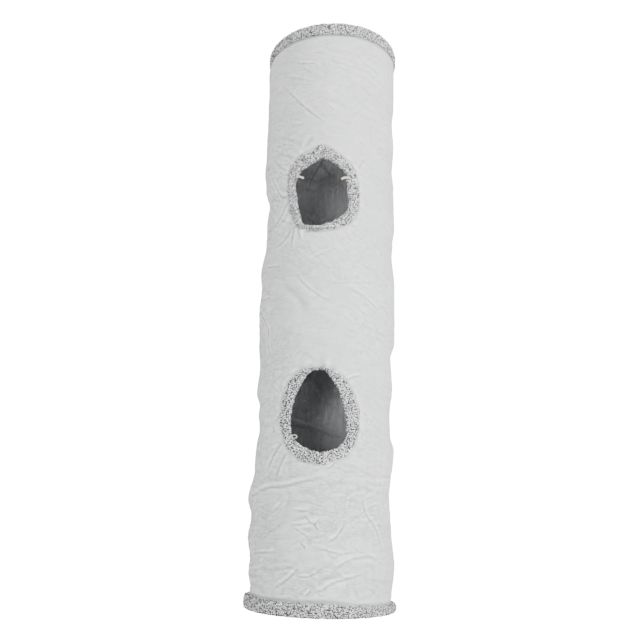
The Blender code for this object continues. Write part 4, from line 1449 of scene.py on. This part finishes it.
def seam_pieces(finish, thread):
    """The tape over the lengthwise seam between skin and lining, and the seam's stitches outside."""
    rows = np.linspace(HEM_HEIGHT, HEM_TOP, 200)
    x = np.linspace(-SEAM_TAPE_WIDTH / 2, SEAM_TAPE_WIDTH / 2, 7)
    section = np.concatenate([x, x[::-1]])
    drop = np.repeat(SEAM_TAPE_DROPS, len(x))
    across = ROUND / 2 + section[None, :] + 0 * rows[:, None]
    up = rows[:, None] + 0 * across
    points = wall_point(across, up, tube_radius(ROUND / 2 + 0 * up, up) - drop[None, :])
    girths = np.concatenate([[0], np.cumsum(np.abs(np.diff(np.append(section, section[0]))))])
    tape = closed_strip("seam_tape_strip", points, girths, rows, finish)
    up = np.arange(SEAM_STITCH_START, TUNNEL_HEIGHT - SEAM_STITCH_START, STITCH_SPACING)
    places = []
    for side in (-1, 1):
        across = np.full(up.shape, side * (ROUND / 2 - SEAM_STITCH_INSET))
        places.append(wall_point(across, up, skin_radius(across, up) + SEAM_STITCH_RISE))
    places = np.concatenate(places)
    along = np.tile([[0.0, 0.0, 1.0]], (len(places), 1))
    out = unit(places * np.array([1, 1, 0]))
    return tape, stitches("seam_stitches", places, along, out, SEAM_STITCH, thread)


def cord_end(name, places, radius, finish):
    """A short cut end of cord out of the binding's fold, a little frayed at its tip."""
    line = smooth_line(places, 6, False)
    path = wall_point(line[:, 0], line[:, 1], SKIN_RADIUS + line[:, 2])
    share = np.linspace(0, 1, len(path))
    radii = radius * (1 + 0.10 * np.sin(share * 40) * 0.5 + 0.22 * smooth((share - 0.8) / 0.15))
    radii[-1] *= 0.72
    return tube(name, path, radii, CORD_SIDES, finish)


def add_camera():
    camera = bpy.data.objects.new("camera", bpy.data.cameras.new("camera"))
    bpy.context.scene.collection.objects.link(camera)
    turn = (
        Matrix.Rotation(CAMERA_YAW, 4, "Z")
        @ Matrix.Rotation(CAMERA_PITCH, 4, "X")
        @ Matrix.Rotation(CAMERA_ROLL, 4, "Y")
        @ Matrix.Rotation(pi / 2, 4, "X")
    )
    camera.matrix_world = Matrix.Translation(CAMERA_PLACE) @ turn
    camera.data.lens = LENS
    camera.data.sensor_width = SENSOR_WIDTH
    bpy.context.scene.camera = camera


def soft_lamp(name, place, aim, size, watts):
    """A square soft lamp that faces a point."""
    lamp = bpy.data.objects.new(name, bpy.data.lights.new(name, "AREA"))
    bpy.context.scene.collection.objects.link(lamp)
    lamp.data.shape = "SQUARE"
    lamp.data.size = size
    lamp.data.energy = watts
    lamp.location = place
    lamp.rotation_euler = (Vector(aim) - Vector(place)).to_track_quat("-Z", "Y").to_euler()


def add_studio():
    """A pale floor, a white surround and soft lamps. What the camera sees of floor and surround is
    near white, as behind a cut-out."""
    world = bpy.data.worlds.new("studio")
    bpy.context.scene.world = world
    world.use_nodes = True
    tree = world.node_tree
    seen = node(tree, "LightPath", {}).outputs["Is Camera Ray"]
    strength = maths(tree, "MULTIPLY_ADD", seen, SEEN_WHITE, SURROUND)
    linked(tree, tree.nodes["Background"], {"Color": (1, 1, 1, 1), "Strength": strength})
    bpy.ops.object.select_all(action="DESELECT")
    bpy.ops.mesh.primitive_plane_add(size=FLOOR_SIZE, location=(0, 0, 0))
    floor = bpy.context.active_object
    floor.name = "floor"
    pale, tree, shader = material("pale_floor", roughness=0.9, specular=0.0)
    linked(tree, shader, {"Base Color": (*PALE_FLOOR, 1), "Emission Color": (1, 1, 1, 1)})
    seen = node(tree, "LightPath", {}).outputs["Is Camera Ray"]
    linked(tree, shader, {"Emission Strength": maths(tree, "MULTIPLY", seen, SEEN_FLOOR)})
    floor.data.materials.append(pale)
    for name, (place, aim, size, watts) in LAMPS.items():
        soft_lamp(name, place, aim, size, watts)


def add_skin(finish):
    tests = (near_folds(SKIN_FINE, FOLDS),)
    skin, area = cloth_sheet(
        "suede_skin",
        SKIN_FACE,
        tests,
        skin_radius,
        wall=SKIN_WALL,
        finish=finish,
        outset=SKIN_CUT,
        most_faces=SKIN_TRIANGLES,
        marks=mark_creases,
    )
    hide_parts("outer_skin")
    return skin


def add_lining(finish):
    tests = (near_folds(LINING_FINE, LINING_FOLDS), near_folds(LINING_FINEST, LINING_FOLDS))
    lining, area = cloth_sheet(
        "nylon_lining",
        LINING_FACE,
        tests,
        lining_radius,
        wall=LINING_WALL,
        finish=finish,
        outset=LINING_CUT,
    )
    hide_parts("inner_lining")
    return lining


def add_bindings(finish):
    bindings = []
    for hole, seed in ((UPPER_HOLE, 201), (LOWER_HOLE, 211)):
        binding = fleece_binding(hole, seed, finish)
        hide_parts(hole["name"] + "_binding")
        bindings.append(binding)
    return bindings


def add_wire():
    steel = metal_material("spring_steel", SPRING_STEEL, roughness=0.34, scratch=0.00004)
    wire = tube("wire_coil", wire_path(), WIRE_RADIUS, WIRE_SIDES, steel)
    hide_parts("spring_wire")
    return wire


def add_tapes(tape):
    """The wire's casing and the seam's tape, with their stitches."""
    thread = thread_material()
    casing, length, casing_sewn = casing_pieces(tape, thread)
    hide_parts("wire_casing")
    strip, seam_sewn = seam_pieces(tape, thread)
    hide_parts("seam_tape")
    return [casing, casing_sewn, strip, seam_sewn]


def add_cords():
    """The two cord ends in the upper binding, and the loose yarn at the lower one."""
    ends = [
        cord_end("left_cord_tip", LEFT_CORD, LEFT_CORD_RADIUS, cord_material("white_cord", WHITE_CORD)),
        cord_end("right_cord_tip", RIGHT_CORD, RIGHT_CORD_RADIUS, cord_material("cream_cord", CREAM_CORD)),
    ]
    loose = cord_end("loose_thread", LOOSE_YARN, YARN_RADIUS, cord_material("pile_yarn", PILE_YARN))
    for piece, node_name in zip(ends, ("left_cord_end", "right_cord_end")):
        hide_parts(node_name)
    return [loose, *ends]


def finish_ferrules():
    """The two sleeves keep their own shape, and get a pressed steel finish."""
    pressed = metal_material("pressed_sleeve", PRESSED_STEEL, roughness=0.40, scratch=0.00006)
    for name in ("bottom_ferrule", "top_ferrule"):
        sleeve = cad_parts[name].data
        sleeve.materials.clear()
        sleeve.materials.append(pressed)


def add_rims(finish):
    for name, node_name, at_top, outer, height, body, seed in (
        ("bottom_fleece_rim", "bottom_rim", False, BOTTOM_RIM_RADIUS, RIM_HEIGHT, "base", 301),
        ("top_fleece_rim", "top_rim", True, TOP_RIM_RADIUS, TOP_RIM_HEIGHT, "top_end", 311),
    ):
        rim = fleece_rim(name, at_top, outer, height, seed, finish)
        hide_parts(node_name)
        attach(rim, body)


def main():
    add_camera()
    add_studio()
    weave, crinkle = weave_group(), crinkle_group()
    fleecy = fleece_material()
    skin = add_skin(suede_material(weave, crinkle))
    lining = add_lining(lining_material(crinkle))
    soft = [skin, lining, *add_bindings(fleecy), add_wire()]
    soft += add_tapes(tape_material(weave))
    soft += add_cords()
    finish_ferrules()
    for piece in soft:
        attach(piece, "base")
        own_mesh(piece)
    add_rims(fleecy)


main()
